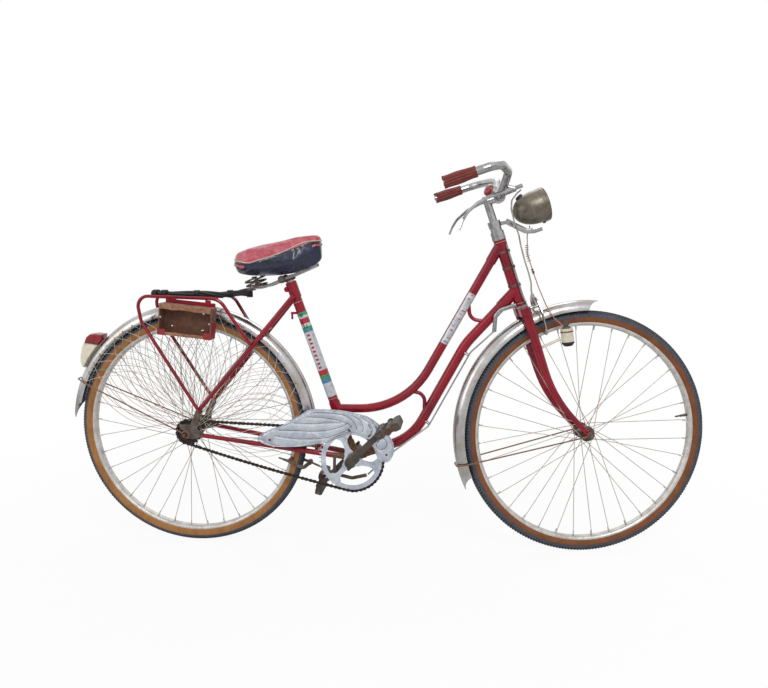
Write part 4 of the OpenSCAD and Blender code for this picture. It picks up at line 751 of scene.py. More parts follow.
def buildSaddle():
    # padded cover: the CAD form remeshed and swollen by cloth pressure, red above its piping, navy below
    source = nodes["saddle_cover"]
    mesh = source.data.copy()
    obj = addObject("saddle_padding", mesh)
    bm = bmesh.new()
    bm.from_mesh(mesh)
    middle = sum((v.co for v in bm.verts), Vector()) / len(bm.verts)
    for v in bm.verts:
        v.co = middle + (v.co - middle) * saddleLook["shrink"]
    bm.to_mesh(mesh)
    bm.free()
    remesh = obj.modifiers.new("remesh", "REMESH")
    remesh.mode = "VOXEL"
    remesh.voxel_size = saddleLook["voxel"] * mm
    smooth = obj.modifiers.new("smooth", "SMOOTH")
    smooth.iterations = 3
    still = applyModifiers(obj)
    start = [v.co.copy() for v in still.vertices]
    cloth = obj.modifiers.new("cloth", "CLOTH")
    cloth.settings.use_pressure = True
    cloth.settings.uniform_pressure_force = saddleLook["pressure"]
    cloth.settings.effector_weights.gravity = 0
    cloth.settings.quality = 5
    cloth.settings.tension_stiffness = 25
    cloth.settings.bending_stiffness = 3
    cloth.point_cache.frame_start = 1
    cloth.point_cache.frame_end = saddleLook["frames"]
    for f in range(1, saddleLook["frames"] + 1):
        bpy.context.scene.frame_set(f)
    applyModifiers(obj)
    bpy.context.scene.frame_set(1)
    cap = saddleLook["cap"] * mm
    lo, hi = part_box("saddle_cover")
    for v, s in zip(obj.data.vertices, start):
        d = v.co - s
        if d.length > cap:
            v.co = s + d * (cap / d.length)
    # the edge line climbs from the low rear to the nose, as the skirt's seam does
    def seamHeight(x):
        t = min(1, max(0, (x - lo[0]) / (hi[0] - lo[0])))
        for (a, low), (b, high) in zip(saddleLook["seam"], saddleLook["seam"][1:]):
            if t <= b:
                return lo[2] + (hi[2] - lo[2]) * (low + (high - low) * (t - a) / (b - a))
    rng = random.Random(11)
    creases = [(rng.uniform(lo[0], hi[0]), rng.uniform(0.15, 0.4), rng.uniform(-1, 1))
        for _ in range(saddleLook["creases"])]
    for v in obj.data.vertices:
        if v.co.z < seamHeight(v.co.x) - 0.006:
            push = 0
            for x, w, lean in creases:
                push += math.exp(-((v.co.x - x + lean * 0.4 * (v.co.z - lo[2])) / 0.006) ** 2) * w
            v.co += Vector((0, math.copysign(1, v.co.y), 0)) * -min(push, 0.6) * saddleLook["creaseDeep"] * mm
    sub = obj.modifiers.new("sub", "SUBSURF")
    sub.levels = sub.render_levels = 1
    final = applyModifiers(obj)
    final.materials.clear()
    final.materials.append(vinylRed)
    final.materials.append(navyVinyl)
    for p in final.polygons:
        p.use_smooth = True
        p.material_index = 0 if p.center.z > seamHeight(p.center.x) else 1
    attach(obj, "frame")
    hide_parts("saddle_cover")
    # piping laid on the surface where the colours meet
    tree = BVHTree.FromPolygons([v.co for v in final.vertices], [tuple(p.vertices) for p in final.polygons])
    line = []
    for k in range(96):
        a = 2 * math.pi * k / 96
        x = (lo[0] + hi[0]) / 2 + (hi[0] - lo[0]) / 2 * math.cos(a) * 0.9
        y = (hi[1] - lo[1]) / 2 * math.sin(a) * 0.9
        outward = Vector((math.cos(a) * 0.5, math.sin(a), 0)).normalized()
        at, normal = tree.ray_cast(Vector((x, y, seamHeight(x))) + outward * 0.3, -outward)[:2]
        if at is not None:
            line.append(at + normal * 0.8 * mm)
    # drop strays left by folds, keeping one smooth line
    kept = [line[0]]
    for p in line[1:]:
        if (p - kept[-1]).length > 0.004:
            kept.append(p)
    assemble("saddle_piping", [tube(kept, saddleLook["piping"] * mm, 8, True) + (paleCord,)], "frame")
    # a torn flap of red left at the nose, and one along the side where the cover split
    flaps = []
    for x0, x1, w in saddleLook["flaps"]:
        for s in (1, -1):
            top, low = [], []
            for k in range(13):
                x = lo[0] + (hi[0] - lo[0]) * (x0 + (x1 - x0) * k / 12)
                at, normal = tree.ray_cast(Vector((x, s * 0.3, seamHeight(x) - 0.010)), Vector((0, -s, 0)))[:2]
                if at is None:
                    continue
                top.append(at + normal * 1.2 * mm)
                low.append(at + normal * 2.6 * mm - Vector((0, 0, (w + 1.6 * math.sin(k * 0.9)) * mm)))
            if len(top) > 3:
                rings = [[t, l, l + Vector((0, s * -0.6 * mm, 0)), t + Vector((0, s * -0.6 * mm, 0))]
                    for t, l in zip(top, low)]
                flaps.append(loft(rings) + (vinylRed,))
    if flaps:
        assemble("saddle_torn_edges", flaps, "frame")


buildSaddle()
print("saddle padded")


def helix(foot, axis, radius, height, turns, steps=14):
    axis = Vector(axis).normalized()
    one, two = crossAxes(axis)
    n = int(turns * steps)
    return [Vector(foot) + axis * height * mm * k / n
        + (one * math.cos(2 * math.pi * k / steps) + two * math.sin(2 * math.pi * k / steps)) * radius * mm
        for k in range(n + 1)]


springLook = {"wire": ((82, 10, 46.4), (28, 18, 24), (-26, 25, 3), (-66, 42, -12), (-98, 50, -14),
    (-112, 52, -8)), "coil": (-96, 44, -18), "clamp": (-20, 0, 9), "noseShift": 5}


def buildSprings():
    # a pair of wires each side from nose to rear, two coil springs, and the clamp on the post
    parts = []
    clamp = seatAt(*springLook["clamp"])
    coilX, coilY, coilZ = springLook["coil"]
    for s in (1, -1):
        for shift, drop, size in ((0, 0, 2.6), (-5.5, 5.5, 2.2)):
            wire = list(springLook["wire"])
            if shift:
                x, y, z = wire[0]
                wire[0] = (x, y + springLook["noseShift"], z)
            line = smoothLine([seatAt(x, s * (y + shift), z + drop * 0.8) for x, y, z in wire], 6)
            parts.append(tube(line, size * mm, 8) + (pittedChrome,))
        parts.append(tube(helix(seatAt(coilX, s * coilY, coilZ), (-0.3, 0, 1), 17, 34, 3), 2.7 * mm, 8)
            + (rustedSteel,))
        parts.append(lathe([(0.1, -36), (9, -36), (9, -29), (0.1, -29)], clamp, (0, s, 0), 6) + (rustedSteel,))
        # serrated washers between the clamp and the wires
        for a in (-28, -24):
            parts.append(lathe([(7, a), (11, a), (11, a + 2.2), (7, a + 2.2)], clamp, (0, s, 0), 24, True)
                + (rustedSteel,))
    parts.append(lathe([(0.1, -32), (6.5, -32), (6.5, 32), (0.1, 32)], clamp, (0, 1, 0), 16) + (rustedSteel,))
    parts.append(lathe([(12.7, 0), (17.4, 1), (18, 6), (17.4, 15), (12.7, 16)], seatTop + seatDir * 4 * mm,
        seatDir, 32, True) + (rustedSteel,))
    assemble("saddle_spring_frame", parts, "frame", ("saddle_springs",))


buildSprings()

gripLook = {"bend": (26, 260, 67.5), "end": (-117, 244, 69), "height": 304, "length": 84, "ribs": 14,
    "rows": 22, "around": 72, "tornFrom": 0.86, "radius": 12.9, "collar": (11.3, 13.3)}


def buildGrip(s, name):
    # perished ribbed grip with a torn, opened end that shows the bar inside
    first = headAt(gripLook["bend"][0], s * gripLook["bend"][1], gripLook["height"] + gripLook["bend"][2],
        barTurn)
    last = headAt(gripLook["end"][0], s * gripLook["end"][1], gripLook["height"] + gripLook["end"][2], barTurn)
    along = (last - first).normalized()
    side = (left - along * left.dot(along)).normalized()
    up = along.cross(side)
    rng = random.Random(5 + s)
    rows, around = gripLook["rows"], gripLook["around"]
    tornFrom = gripLook["tornFrom"]
    rings = []
    for i in range(rows):
        t = i / (rows - 1)
        base = last - along * gripLook["length"] * mm * (1 - t)
        ring = []
        for k in range(around):
            a = 2 * math.pi * k / around
            r = gripLook["radius"] + 1.4 * t + 1.3 * math.sin(t * math.pi) ** 0.4 + (1.0 if t < 0.05 else 0.0)
            r += 1.0 * math.cos(a * gripLook["ribs"]) * (0.15 + 0.85 * min(1, 4 * t) * (t > 0.06))
            r += 0.5 * math.sin(9 * t + 2 * a) + rng.uniform(-0.12, 0.12)
            tear = 0
            if t > tornFrom:
                tear = (t - tornFrom) / (1 - tornFrom)
                r += tear * (0.8 + 0.9 * math.sin(3 * a + s))
            reach = tear * (2.6 * math.sin(5 * a + 1) - 1.5)
            ring.append(base + along * reach * mm + (side * math.cos(a) + up * math.sin(a)) * r * mm)
        rings.append(ring)
    inside = [[p + (last + along * along.dot(p - last) - p) * 0.17 for p in rings[-1]],
        [last - along * 12 * mm + spin * 11.6 * mm for spin in circle(side, up, around)]]
    parts = [loft(rings + inside, capped=False) + (redGrip,)]
    collar = first + (last - first) * (1 - gripLook["length"] * mm / (last - first).length)
    parts.append(loft([[collar + spin * r * mm for spin in circle(side, up, around)]
        for r in gripLook["collar"]], False) + (redGrip,))
    parts.append(lathe([(0.1, 0), (8.8, 0), (8.8, 3), (10.9, 3), (10.9, -6)], last - along * 3 * mm, along, 32)
        + (blackRubber,))
    assemble(name + "_rubber", parts, "steering", (name,))


buildGrip(1, "grip_left")
buildGrip(-1, "grip_right")
print("grips and springs")

lampLook = {"at": (152, 0, 246), "tilt": 17, "radius": 46, "length": 94, "lensInset": 4.8, "ribGap": 5.2,
    "knob": (-62, 34), "bell": (38.3, 45.9, 312.1), "dynamo": ((84, -46, -136), (92, -46, -96))}


def buildLamp():
    # egg-shaped shell with its rim, switch knob, screw and ribbed lens
    tilt = math.radians(lampLook["tilt"])
    axis = forkTurn @ Vector((math.cos(tilt), 0, math.sin(tilt)))
    up = forkTurn @ Vector((-math.sin(tilt), 0, math.cos(tilt)))
    at = headAt(*lampLook["at"])
    radius, long = lampLook["radius"], lampLook["length"]
    lensRadius = radius - lampLook["lensInset"]
    shell = [(0.1, -long + 1)] + [(radius * math.sin(math.radians(a)) ** 0.92,
        -26 - (long - 27) * math.cos(math.radians(a))) for a in range(8, 90, 7)] + [(radius + 0.4, -22),
        (radius + 0.5, -12)]
    rim = [(radius + 0.5, -12), (radius + 1.6, -10), (radius + 1.6, -7), (radius + 0.6, -5), (radius + 0.6, -2),
        (radius + 1.4, -1), (radius + 0.4, 1.4), (radius - 2.5, 1), (radius - 4.6, -4)]
    parts = [lathe(shell, at, axis, 64) + (tarnished,), lathe(rim, at, axis, 64) + (tarnished,)]
    # the black switch on top at the back, with its knurls
    knobBack, knobUp = lampLook["knob"]
    knobAt = at + axis * knobBack * mm + up * knobUp * mm
    knobAxis = (up - axis * 0.55).normalized()
    parts.append(lathe([(0.1, -2), (11, -2), (11, 4), (9.5, 6), (9.5, 8), (8, 10.5), (0.1, 11)], knobAt,
        knobAxis, 20) + (blackRubber,))
    for k in range(10):
        a = 2 * math.pi * k / 10
        spin = Matrix.Rotation(a, 3, knobAxis)
        foot = knobAt + (spin @ axis.cross(knobAxis).normalized()) * 9.6 * mm
        parts.append(tube([foot + knobAxis * 4 * mm, foot + knobAxis * 9 * mm], 1.1 * mm, 6) + (blackRubber,))
    screw = at - axis * 16 * mm - up * (radius + 0.5) * mm
    parts.append(lathe([(0.1, -2), (4.6, -2), (4.6, 3), (0.1, 4)], screw, -up, 6) + (rustedSteel,))
    assemble("headlamp_shell", parts, "steering", ("headlamp",))
    lens = []
    for k in range(9):
        t = k / 8
        lens.append((max(0.1, lensRadius * (1 - t)), -4 + 7 * math.sin(t * math.pi / 2)))
    glass = [lathe(lens, at, axis, 64) + (lensGlass,)]
    side = axis.cross(up)
    for k in range(-7, 8):
        x = k * lampLook["ribGap"]
        half = math.sqrt(max(4, (radius - 6) ** 2 - x * x))
        pts = []
        for j in range(9):
            u = -half + 2 * half * j / 8
            rr = math.hypot(x, u) / lensRadius
            pts.append(at + (side * x + up * u) * mm
                + axis * (-3.6 + 7 * math.sin((1 - rr) * math.pi / 2)) * mm)
        glass.append(tube(pts, 0.8 * mm, 6) + (lensGlass,))
    assemble("headlamp_glass", glass, "steering", ("headlamp_lens",))
    # red dome on the bell, its clamp screw, and the dynamo's black parts
    foot = headAt(*lampLook["bell"], barTurn)
    bellUp = (barTurn @ (steer - ahead * 0.9 - left * 0.5)).normalized()
    assemble("bell_dome", [lathe([(17.4, 0), (18, -2), (17.6, 3), (15.5, 6), (10, 9), (4, 10.2), (0.1, 10.4)],
        foot + bellUp * 31 * mm, bellUp, 36) + (redPlastic,),
        lathe([(0.1, 10), (2.6, 10), (2.6, 12), (0.1, 12.6)], foot + bellUp * 31 * mm, bellUp, 10)
        + (pittedChrome,)], "steering")
    low, high = (headAt(*end) for end in lampLook["dynamo"])
    ax = (high - low).normalized()
    assemble("dynamo_fittings",
        [lathe([(0.1, -9), (9, -9), (13, -7), (15.5, -2), (17.3, -2), (17.3, 3), (15, 3), (15, 0), (0.1, 0)],
        low, ax, 32) + (blackRubber,),
        lathe([(17.2, 30), (17.9, 30), (17.9, 33), (17.2, 33)], low, ax, 32, True) + (rustedSteel,),
        lathe([(0.1, 0), (12, 0), (10, 4), (5, 6), (5, 9), (8.5, 9)]
        + [(8.5 + (0.6 if k % 2 else 0), 9 + k * 1.1) for k in range(11)] + [(8, 21), (0.1, 22)], high, ax, 24)
        + (rustedSteel,)], "steering")


buildLamp()
print("lamp, bell and dynamo")

caseLook = {"at": (-41, -70.3, 388), "tilt": 6.5, "long": 154, "high": 88, "deep": 38, "wall": 3.5,
    "rivets": ((28, -16), (120, -20), (28, -66), (120, -70)), "warp": 0.45}


def buildCase():
    # open leather tool case: worn boards, frayed front edges, red corner patches and rivets
    turn = Matrix.Rotation(math.radians(caseLook["tilt"]), 3, "Y")
    base = rearAt(*caseLook["at"])

    def place(x, y, z):
        return base + turn @ (Vector((x, y, z)) * mm)

    rng = random.Random(21)

    def board(corner, u, v, thick, rough=(0, 0, 0, 0), mat=brownBoard, grid=12):
        # a warped sheet; rough gives the fray in mm of its four edges (u0, u1, v0, v1)
        corner, u, v = Vector(corner), Vector(u), Vector(v)
        n = u.cross(v).normalized() * thick
        wob = [rng.uniform(-caseLook["warp"], caseLook["warp"]) for _ in range((grid + 1) ** 2)]
        verts, faces = [], []
        for side in (0, 1):
            for i in range(grid + 1):
                for j in range(grid + 1):
                    p = corner + u * (i / grid) + v * (j / grid) + n * side
                    if 0 < i < grid and 0 < j < grid:
                        p += n.normalized() * wob[i * (grid + 1) + j]
                    for at, end, way, amount, mark in ((i, 0, -u, rough[0], j), (i, grid, u, rough[1], j),
                            (j, 0, -v, rough[2], i), (j, grid, v, rough[3], i)):
                        if at == end:
                            p += way.normalized() * amount * (0.4 + wob[mark])
                    verts.append(place(*p))
        m = grid + 1
        for i in range(grid):
            for j in range(grid):
                a = i * m + j
                faces.append((a, a + 1, a + m + 1, a + m))
                faces.append((m * m + a, m * m + a + m, m * m + a + m + 1, m * m + a + 1))
        for i in range(grid):
            for a, b in ((i * m, (i + 1) * m), (i * m + grid, (i + 1) * m + grid), (i, i + 1),
                    (grid * m + i, grid * m + i + 1)):
                faces.append((a, b, m * m + b, m * m + a))
        return verts, faces, mat

    long, high, deep, wall = caseLook["long"], caseLook["high"], caseLook["deep"], caseLook["wall"]
    parts = [board((0, -wall, -high), (long, 0, 0), (0, 0, high), wall, mat=darkBoard),
             board((0, -deep, -wall), (long, 0, 0), (0, deep, 0), wall, (0, 0, 2.5, 0)),
             board((0, -deep, -high), (long, 0, 0), (0, deep, 0), wall, (0, 0, 3, 0)),
             board((0, -deep, -high), (0, deep, 0), (0, 0, high), wall, (2.5, 0, 0, 0)),
             board((long - wall, -deep, -high), (0, deep, 0), (0, 0, high), wall, (2.5, 0, 0, 0)),
        # lighter lip turned down at the top, and turned up along the bottom
             board((2, -deep - 0.5, -13), (long - 6, 0, 0), (0, 0, 13), 1.4, (0, 0, 4, 0), mat=paleBoard),
             board((3, -deep - 0.5, -high), (long - 6, 0, 0), (0, 0, 8), 1.4, (0, 0, 0, 3), mat=paleBoard)]
    for x0, z0 in ((-0.8, -high - 0.8), (long - 21, -high - 0.8)):
        parts.append(board((x0, -deep - 1.6, z0), (22, 0, 0), (0, 0, 16), 1.2, (0, 0, 0, 3), mat=patchRed,
            grid=8))
    parts.append(board((long + 0.1, -deep + 1, -high), (0, deep - 4, 0), (0, 0, high * 0.5), 1.2, (0, 0, 0, 4),
        mat=patchRed, grid=8))
    for x in (18, long - 34):
        parts.append(board((x, 0, -2), (16, 0, 0), (0, 0, 20), 2.4, (0, 0, 0, 0), mat=crimsonEnamel, grid=4))
    # the rack's red side strip that the case hangs from
    parts.append(board((4, 0, 0), (long - 8, 0, 0), (0, 0, 11), 1.6, (0, 0, 0, 0), mat=crimsonEnamel, grid=6))
    for x, z in caseLook["rivets"]:
        parts.append(lathe([(4.4, 0), (4, 1.4), (2.4, 2.3), (0.1, 2.6)], place(x, -2 * wall - 0.3, z),
            turn @ Vector((0, -1, 0)), 14) + (pittedChrome,))
    for x, z in ((6, -38), (long - 6, -44)):
        parts.append(lathe([(3.4, 0), (3, 1.2), (0.1, 1.8)], place(x, -deep - 0.3, z),
            turn @ Vector((0, -1, 0)), 12) + (pittedChrome,))
    assemble("tool_case_boards", parts, "frame", ("tool_case",), 30)


buildCase()
print("tool case")

strapLook = {"path": ((-86, -42), (-66, -46), (-30, -46), (40, -44), (90, -36), (130, -18), (172, 0), (186, 5)),
    "cord": 4.4, "rise": 12, "wraps": (3, 11, 24, 40, 52)}


def buildStrap():
    # bunched black rubber cords along the rack, with wrapped tails and a loop at the front
    def at(x, y, z):
        return rearAt(x, y, 0) + Vector((0, 0, z)) * mm

    base = [Vector((x, y, 0)) for x, y in strapLook["path"]]
    parts = []
    spine = smoothLine(base, 8)
    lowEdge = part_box("rack_strap")[0][2] - rearHub.z
    for c in range(4):
        phase = c * 2 * math.pi / 4
        pts = []
        for i, p in enumerate(spine):
            t = i / (len(spine) - 1)
            a = phase + t * 8.5
            z = (lowEdge / mm) + strapLook["rise"] - 0.024 * (p.x
                + 80) + 4.6 * math.sin(a) + 1.6 * math.sin(t * 17)
            spread = 7.5 * (1 - 0.35 * math.sin(t * math.pi))
            pts.append(at(p.x, p.y + spread * math.cos(a), z))
        parts.append(tube(pts, strapLook["cord"] * mm, 10) + (blackRubber,))
    # wraps that bind the cords
    for k in strapLook["wraps"]:
        p = spine[k]
        q = spine[k + 1]
        along = Vector((q.x - p.x, q.y - p.y, 0)).normalized()
        z = (lowEdge / mm) + strapLook["rise"] - 0.024 * (p.x + 80)
        for turn in range(4):
            foot = at(p.x, p.y, z) + along * turn * 4.2 * mm
            side = Vector((-along.y, along.x, 0))
            ring = [foot + (side * math.cos(2 * math.pi * j / 18) * 13
                + Vector((0, 0, 1)) * math.sin(2 * math.pi * j / 18) * 9.6) * mm for j in range(18)]
            parts.append(tube(ring, 2.1 * mm, 8, True) + (blackRubber,))
    # loop that hangs ahead of the rack
    z = (lowEdge / mm) + 9
    loop = smoothLine([at(150, -8, z), at(174, -8, z - 4), at(188, -4, z - 1), at(190, 4, z + 6),
        at(178, 10, z + 8), at(150, 10, z + 2)], 8)
    parts.append(tube(loop, 4.2 * mm, 10) + (blackRubber,))
    assemble("rack_cords", parts, "frame", ("rack_strap",))


buildStrap()

pedalLook = {"right": 28, "left": 76, "inner": 80, "long": 92, "crank": 170, "spread": 25, "plate": 2.4}


def buildPedal(s, name, tilt):
    # ribbed rubber blocks between rusty end plates, a dust cap outside
    lean = math.radians(45 if s < 0 else 225)
    c = bracket + Vector((math.cos(lean), 0, math.sin(lean))) * pedalLook["crank"] * mm
    a = math.radians(tilt)
    u, w = Vector((math.cos(a), 0, math.sin(a))), Vector((-math.sin(a), 0, math.cos(a)))
    parts = []

    def at(x, y, z):
        return c + (u * x + left * s * y + w * z) * mm

    y0, y1 = pedalLook["inner"], pedalLook["inner"] + pedalLook["long"]
    for k in (-1, 1):
        rings = []
        steps = 18
        for i in range(steps + 1):
            y = y0 + 4 + (y1 - y0 - 8) * i / steps
            groove = 1.5 if i % 3 == 0 else 0
            rings.append([at(k * pedalLook["spread"] + x, y, z)
                for x, z in softBox(10.4, 12.2 - groove, 0.35, 20)])
        parts.append(loft(rings) + (greyRubber,))
    t = pedalLook["plate"]
    outline = softBox(32.4, 7.4, 0.6, 28)
    for y in (y0, y1 - t):
        parts.append(loft([[at(x, y, z) for x, z in outline], [at(x, y + t, z) for x, z in outline]])
            + (rustedSteel,))
        for k in (-1, 1):
            parts.append(lathe([(4.2, 0), (4.2, 2.6), (1.5, 3.6), (0.1, 3.8)],
                at(k * pedalLook["spread"], y + t if y > y0 + 5 else y - 0.01, 0), left * s, 6)
                + (rustedSteel,))
    parts.append(lathe([(0.1, 0), (8.8, 0), (8.8, y1 - y0), (0.1, y1 - y0)], at(0, y0, 0), left * s, 20)
        + (rustedSteel,))
    parts.append(lathe([(8.6, -2), (11, -1), (11, 0.5), (8.4, 2), (4, 2.6), (3.4, 1.4), (0.1, 1.2)],
        at(0, y1 - 0.5, 0), left * s, 22) + (rustedSteel,))
    assemble(name + "_blocks", parts, name, (name,), 32)


buildPedal(-1, "pedal_right", pedalLook["right"])
buildPedal(1, "pedal_left", pedalLook["left"])
print("strap and pedals")

guardLook = {"y": -58.6, "bead": 1.1, "grid": 2.5, "swell": 3.2, "reach": 4.5,
    "outline": ((-272, 63), (-240, 88), (-180, 110), (-153, 129), (-116, 150), (-70, 152), (-20, 148),
    (22, 140), (55, 130), (86, 108), (107, 85), (122, 56), (124, 30), (113, 6), (98, 1), (82, 10), (72, 32),
    (66, 56), (49, 71), (27, 86), (8, 87), (-12, 87), (-40, 76), (-68, 62), (-96, 53), (-130, 47), (-180, 42),
    (-236, 45)), "ridges": (((-258, 62), (-222, 45), (-161, 42), (-115, 46), (-73, 55), (-37, 69), (4, 84)),
    ((-222, 74), (-168, 66), (-115, 65), (-69, 70), (-34, 81), (-6, 95), (4, 107)),
    ((-211, 90), (-161, 90), (-115, 88), (-69, 91), (-24, 103), (-6, 114)),
    ((-165, 112), (-115, 110), (-69, 113.5), (-27, 114)),
    ((-126, 130), (-83, 129), (-41, 123), (-5, 111), (6, 98)),
    ((-105, 143), (-60, 142), (-19, 137), (4, 124), (17, 106), (19, 92)),
    ((8, 136), (30, 121), (38, 103), (35, 88)), ((34, 130), (55, 116), (64, 98), (61, 80), (54, 72)),
    ((62, 119), (80, 101), (84, 84), (78, 76)),
    ((99, 40), (106, 54), (98, 68), (84, 70), (74, 58), (76, 44), (88, 36), (99, 40)))}


def buildGuard():
    # chainguard: dirt along each pressed ridge, bolts, swelling panels and a rolled rim
    parts = []
    for ridge in guardLook["ridges"]:
        line = smoothLine([bracket + Vector((x, guardLook["y"], z)) * mm for x, z in ridge], 6)
        parts.append(tube(line, [(guardLook["bead"] * 1.1 * mm, guardLook["bead"] * 0.8 * mm)] * len(line), 8)
            + (groovedDirt,))
    for x, z in ((-236, 62), (-2, 92), (104, 22)):
        parts.append(lathe([(0.1, 0), (5, 0), (5, 2.6), (3.4, 3.4), (0.1, 3.6)],
            bracket + Vector((x, guardLook["y"] + 0.2, z)) * mm, (0, -1, 0), 6) + (rustedSteel,))
    # pressed panels swell between the ridges
    outline = [Vector((x, 0, z)) for x, z in guardLook["outline"]]
    segments = [(Vector((a[0], 0, a[1])), Vector((b[0], 0, b[1]))) for ridge in guardLook["ridges"]
        for a, b in zip(ridge, ridge[1:])]
    segments += [(a, b) for a, b in zip(outline, outline[1:] + outline[:1])]

    def inside(x, z):
        hit = False
        for a, b in zip(outline, outline[1:] + outline[:1]):
            if (a.z > z) != (b.z > z) and x < a.x + (z - a.z) / (b.z - a.z) * (b.x - a.x):
                hit = not hit
        return hit

    def away(x, z):
        p = Vector((x, 0, z))
        best = 99
        for a, b in segments:
            d = b - a
            t = min(1, max(0, (p - a).dot(d) / d.dot(d)))
            best = min(best, (p - a - d * t).length)
        return best

    step = guardLook["grid"]
    known = {}
    verts, faces = [], []
    for i in range(-110, 54):
        for j in range(0, 66):
            if inside(i * step, j * step):
                known[(i, j)] = len(verts)
                swell = guardLook["swell"] * (1
                    - math.exp(-away(i * step, j * step) / guardLook["reach"])) - 0.1
                verts.append(bracket + Vector((i * step, guardLook["y"] - swell, j * step)) * mm)
    for (i, j), a in known.items():
        b, c, d = known.get((i + 1, j)), known.get((i + 1, j + 1)), known.get((i, j + 1))
        if b is not None and c is not None and d is not None:
            faces.append((a, b, c, d))
    parts.append((verts, faces, chalkyAluminium))
    rimLine = [bracket + Vector((p.x, guardLook["y"] - 0.4, p.z)) * mm for p in outline]
    parts.append(tube(smoothLine(rimLine, 4, True), 1.9 * mm, 8, True) + (chalkyAluminium,))
    assemble("chainguard_ridges", parts, "frame")


buildGuard()

netLook = {"from": -4, "to": 156, "count": 30, "edgeR": 356, "edgeY": 27.4, "nearR": 38, "nearY": 56,
    "sweep": 30, "missing": 0.12, "string": 0.72, "ties": ((250, 34), (150, 43), (60, 52))}


def buildNet():
    # skirt net: strings laced from holes in the mudguard's edge towards the axle, crossing as diamonds
    cords = (paleString, pinkString, greenString, brownString, paleString, brownString)
    rng = random.Random(4)
    for s, name in ((-1, "right"), (1, "left")):
        parts = []
        for i in range(netLook["count"]):
            edge = netLook["from"] + (netLook["to"] - netLook["from"]) * i / (netLook["count"] - 1)
            for lean in (-1, 1):
                if rng.random() < netLook["missing"]:
                    continue
                pts = []
                drop = rng.uniform(1, 6)
                stop = rng.choice((1.0, 1.0, 0.86, 0.74))
                for k in range(11):
                    t = stop * k / 10
                    r = netLook["edgeR"] + (netLook["nearR"] - netLook["edgeR"]) * t
                    a = math.radians(edge + lean * netLook["sweep"] * math.sin(t * math.pi / 2)
                        + (65 - edge) * 0.10 * t)
                    y = netLook["edgeY"] + (netLook["nearY"] - netLook["edgeY"]) * t ** 1.2
                    sag = drop * math.sin(math.pi * t / stop)
                    pts.append(rearHub + Vector((r * math.cos(a), s * y, r * math.sin(a) - sag)) * mm)
                parts.append(tube(pts, netLook["string"] * mm, 4) + (cords[(i * 2 + (lean > 0)) % 6],))
            a = math.radians(edge)
            knot = rearHub + Vector((netLook["edgeR"] * math.cos(a), s * netLook["edgeY"],
                netLook["edgeR"] * math.sin(a))) * mm
            parts.append(lathe([(0.1, -1.8), (1.5, -0.8), (1.5, 0.8), (0.1, 1.8)], knot, (0, 1, 0), 6)
                + (cords[i % 6],))
        # three rings of string that tie the crossings
        for r, y in netLook["ties"]:
            pts = [rearHub + Vector((r * math.cos(math.radians(d)), s * y,
                r * math.sin(math.radians(d)) - 2 * math.sin(d))) * mm for d in range(6, 152, 5)]
            parts.append(tube(pts, 0.5 * mm, 4) + (paleString,))
        assemble("skirt_net_" + name, parts, "frame")


buildNet()
print("chainguard ridges and net")

decalLook = {"topFrom": 0.29, "topTo": 0.59, "topJoint": 0.181, "topBend": (0.151, 0.204), "seatRadius": 14.32,
    "topRadius": 12.75, "bands": ((92, 102, greenInk), (102, 110, silverFoil), (110, 126, redInk),
    (126, 136, silverFoil), (136, 146, greenInk), (146, 152, blueInk), (152, 270, silverFoil),
    (270, 286, redInk), (286, 300, greenInk), (300, 310, blueInk), (310, 353, silverFoil))}


def sleeve(foot, along, length, radius, thick=0.35, steps=40, arc=(0, 360)):
    # a thin worn band round a tube
    along = along.normalized()
    one, two = crossAxes(along)
    n = steps
    angles = [math.radians(arc[0] + (arc[1] - arc[0]) * k / n) for k in range(n + 1)]
    rings = []
    for t in (0, length):
        for r in (radius, radius + thick):
            rings.append([foot + along * t * mm + (one * math.cos(a) + two * math.sin(a)) * r * mm
                for a in angles])
    order = [rings[0], rings[1], rings[3], rings[2]]
    verts = [p for ring in order for p in ring]
    faces = []
    m = n + 1
    for i in range(4):
        j = (i + 1) % 4
        faces += [(i * m + k, i * m + k + 1, j * m + k + 1, j * m + k) for k in range(n)]
    if arc[1] - arc[0] < 359:
        faces += [tuple(i * m for i in range(4)), tuple(i * m + n for i in (3, 2, 1, 0))]
    return verts, faces


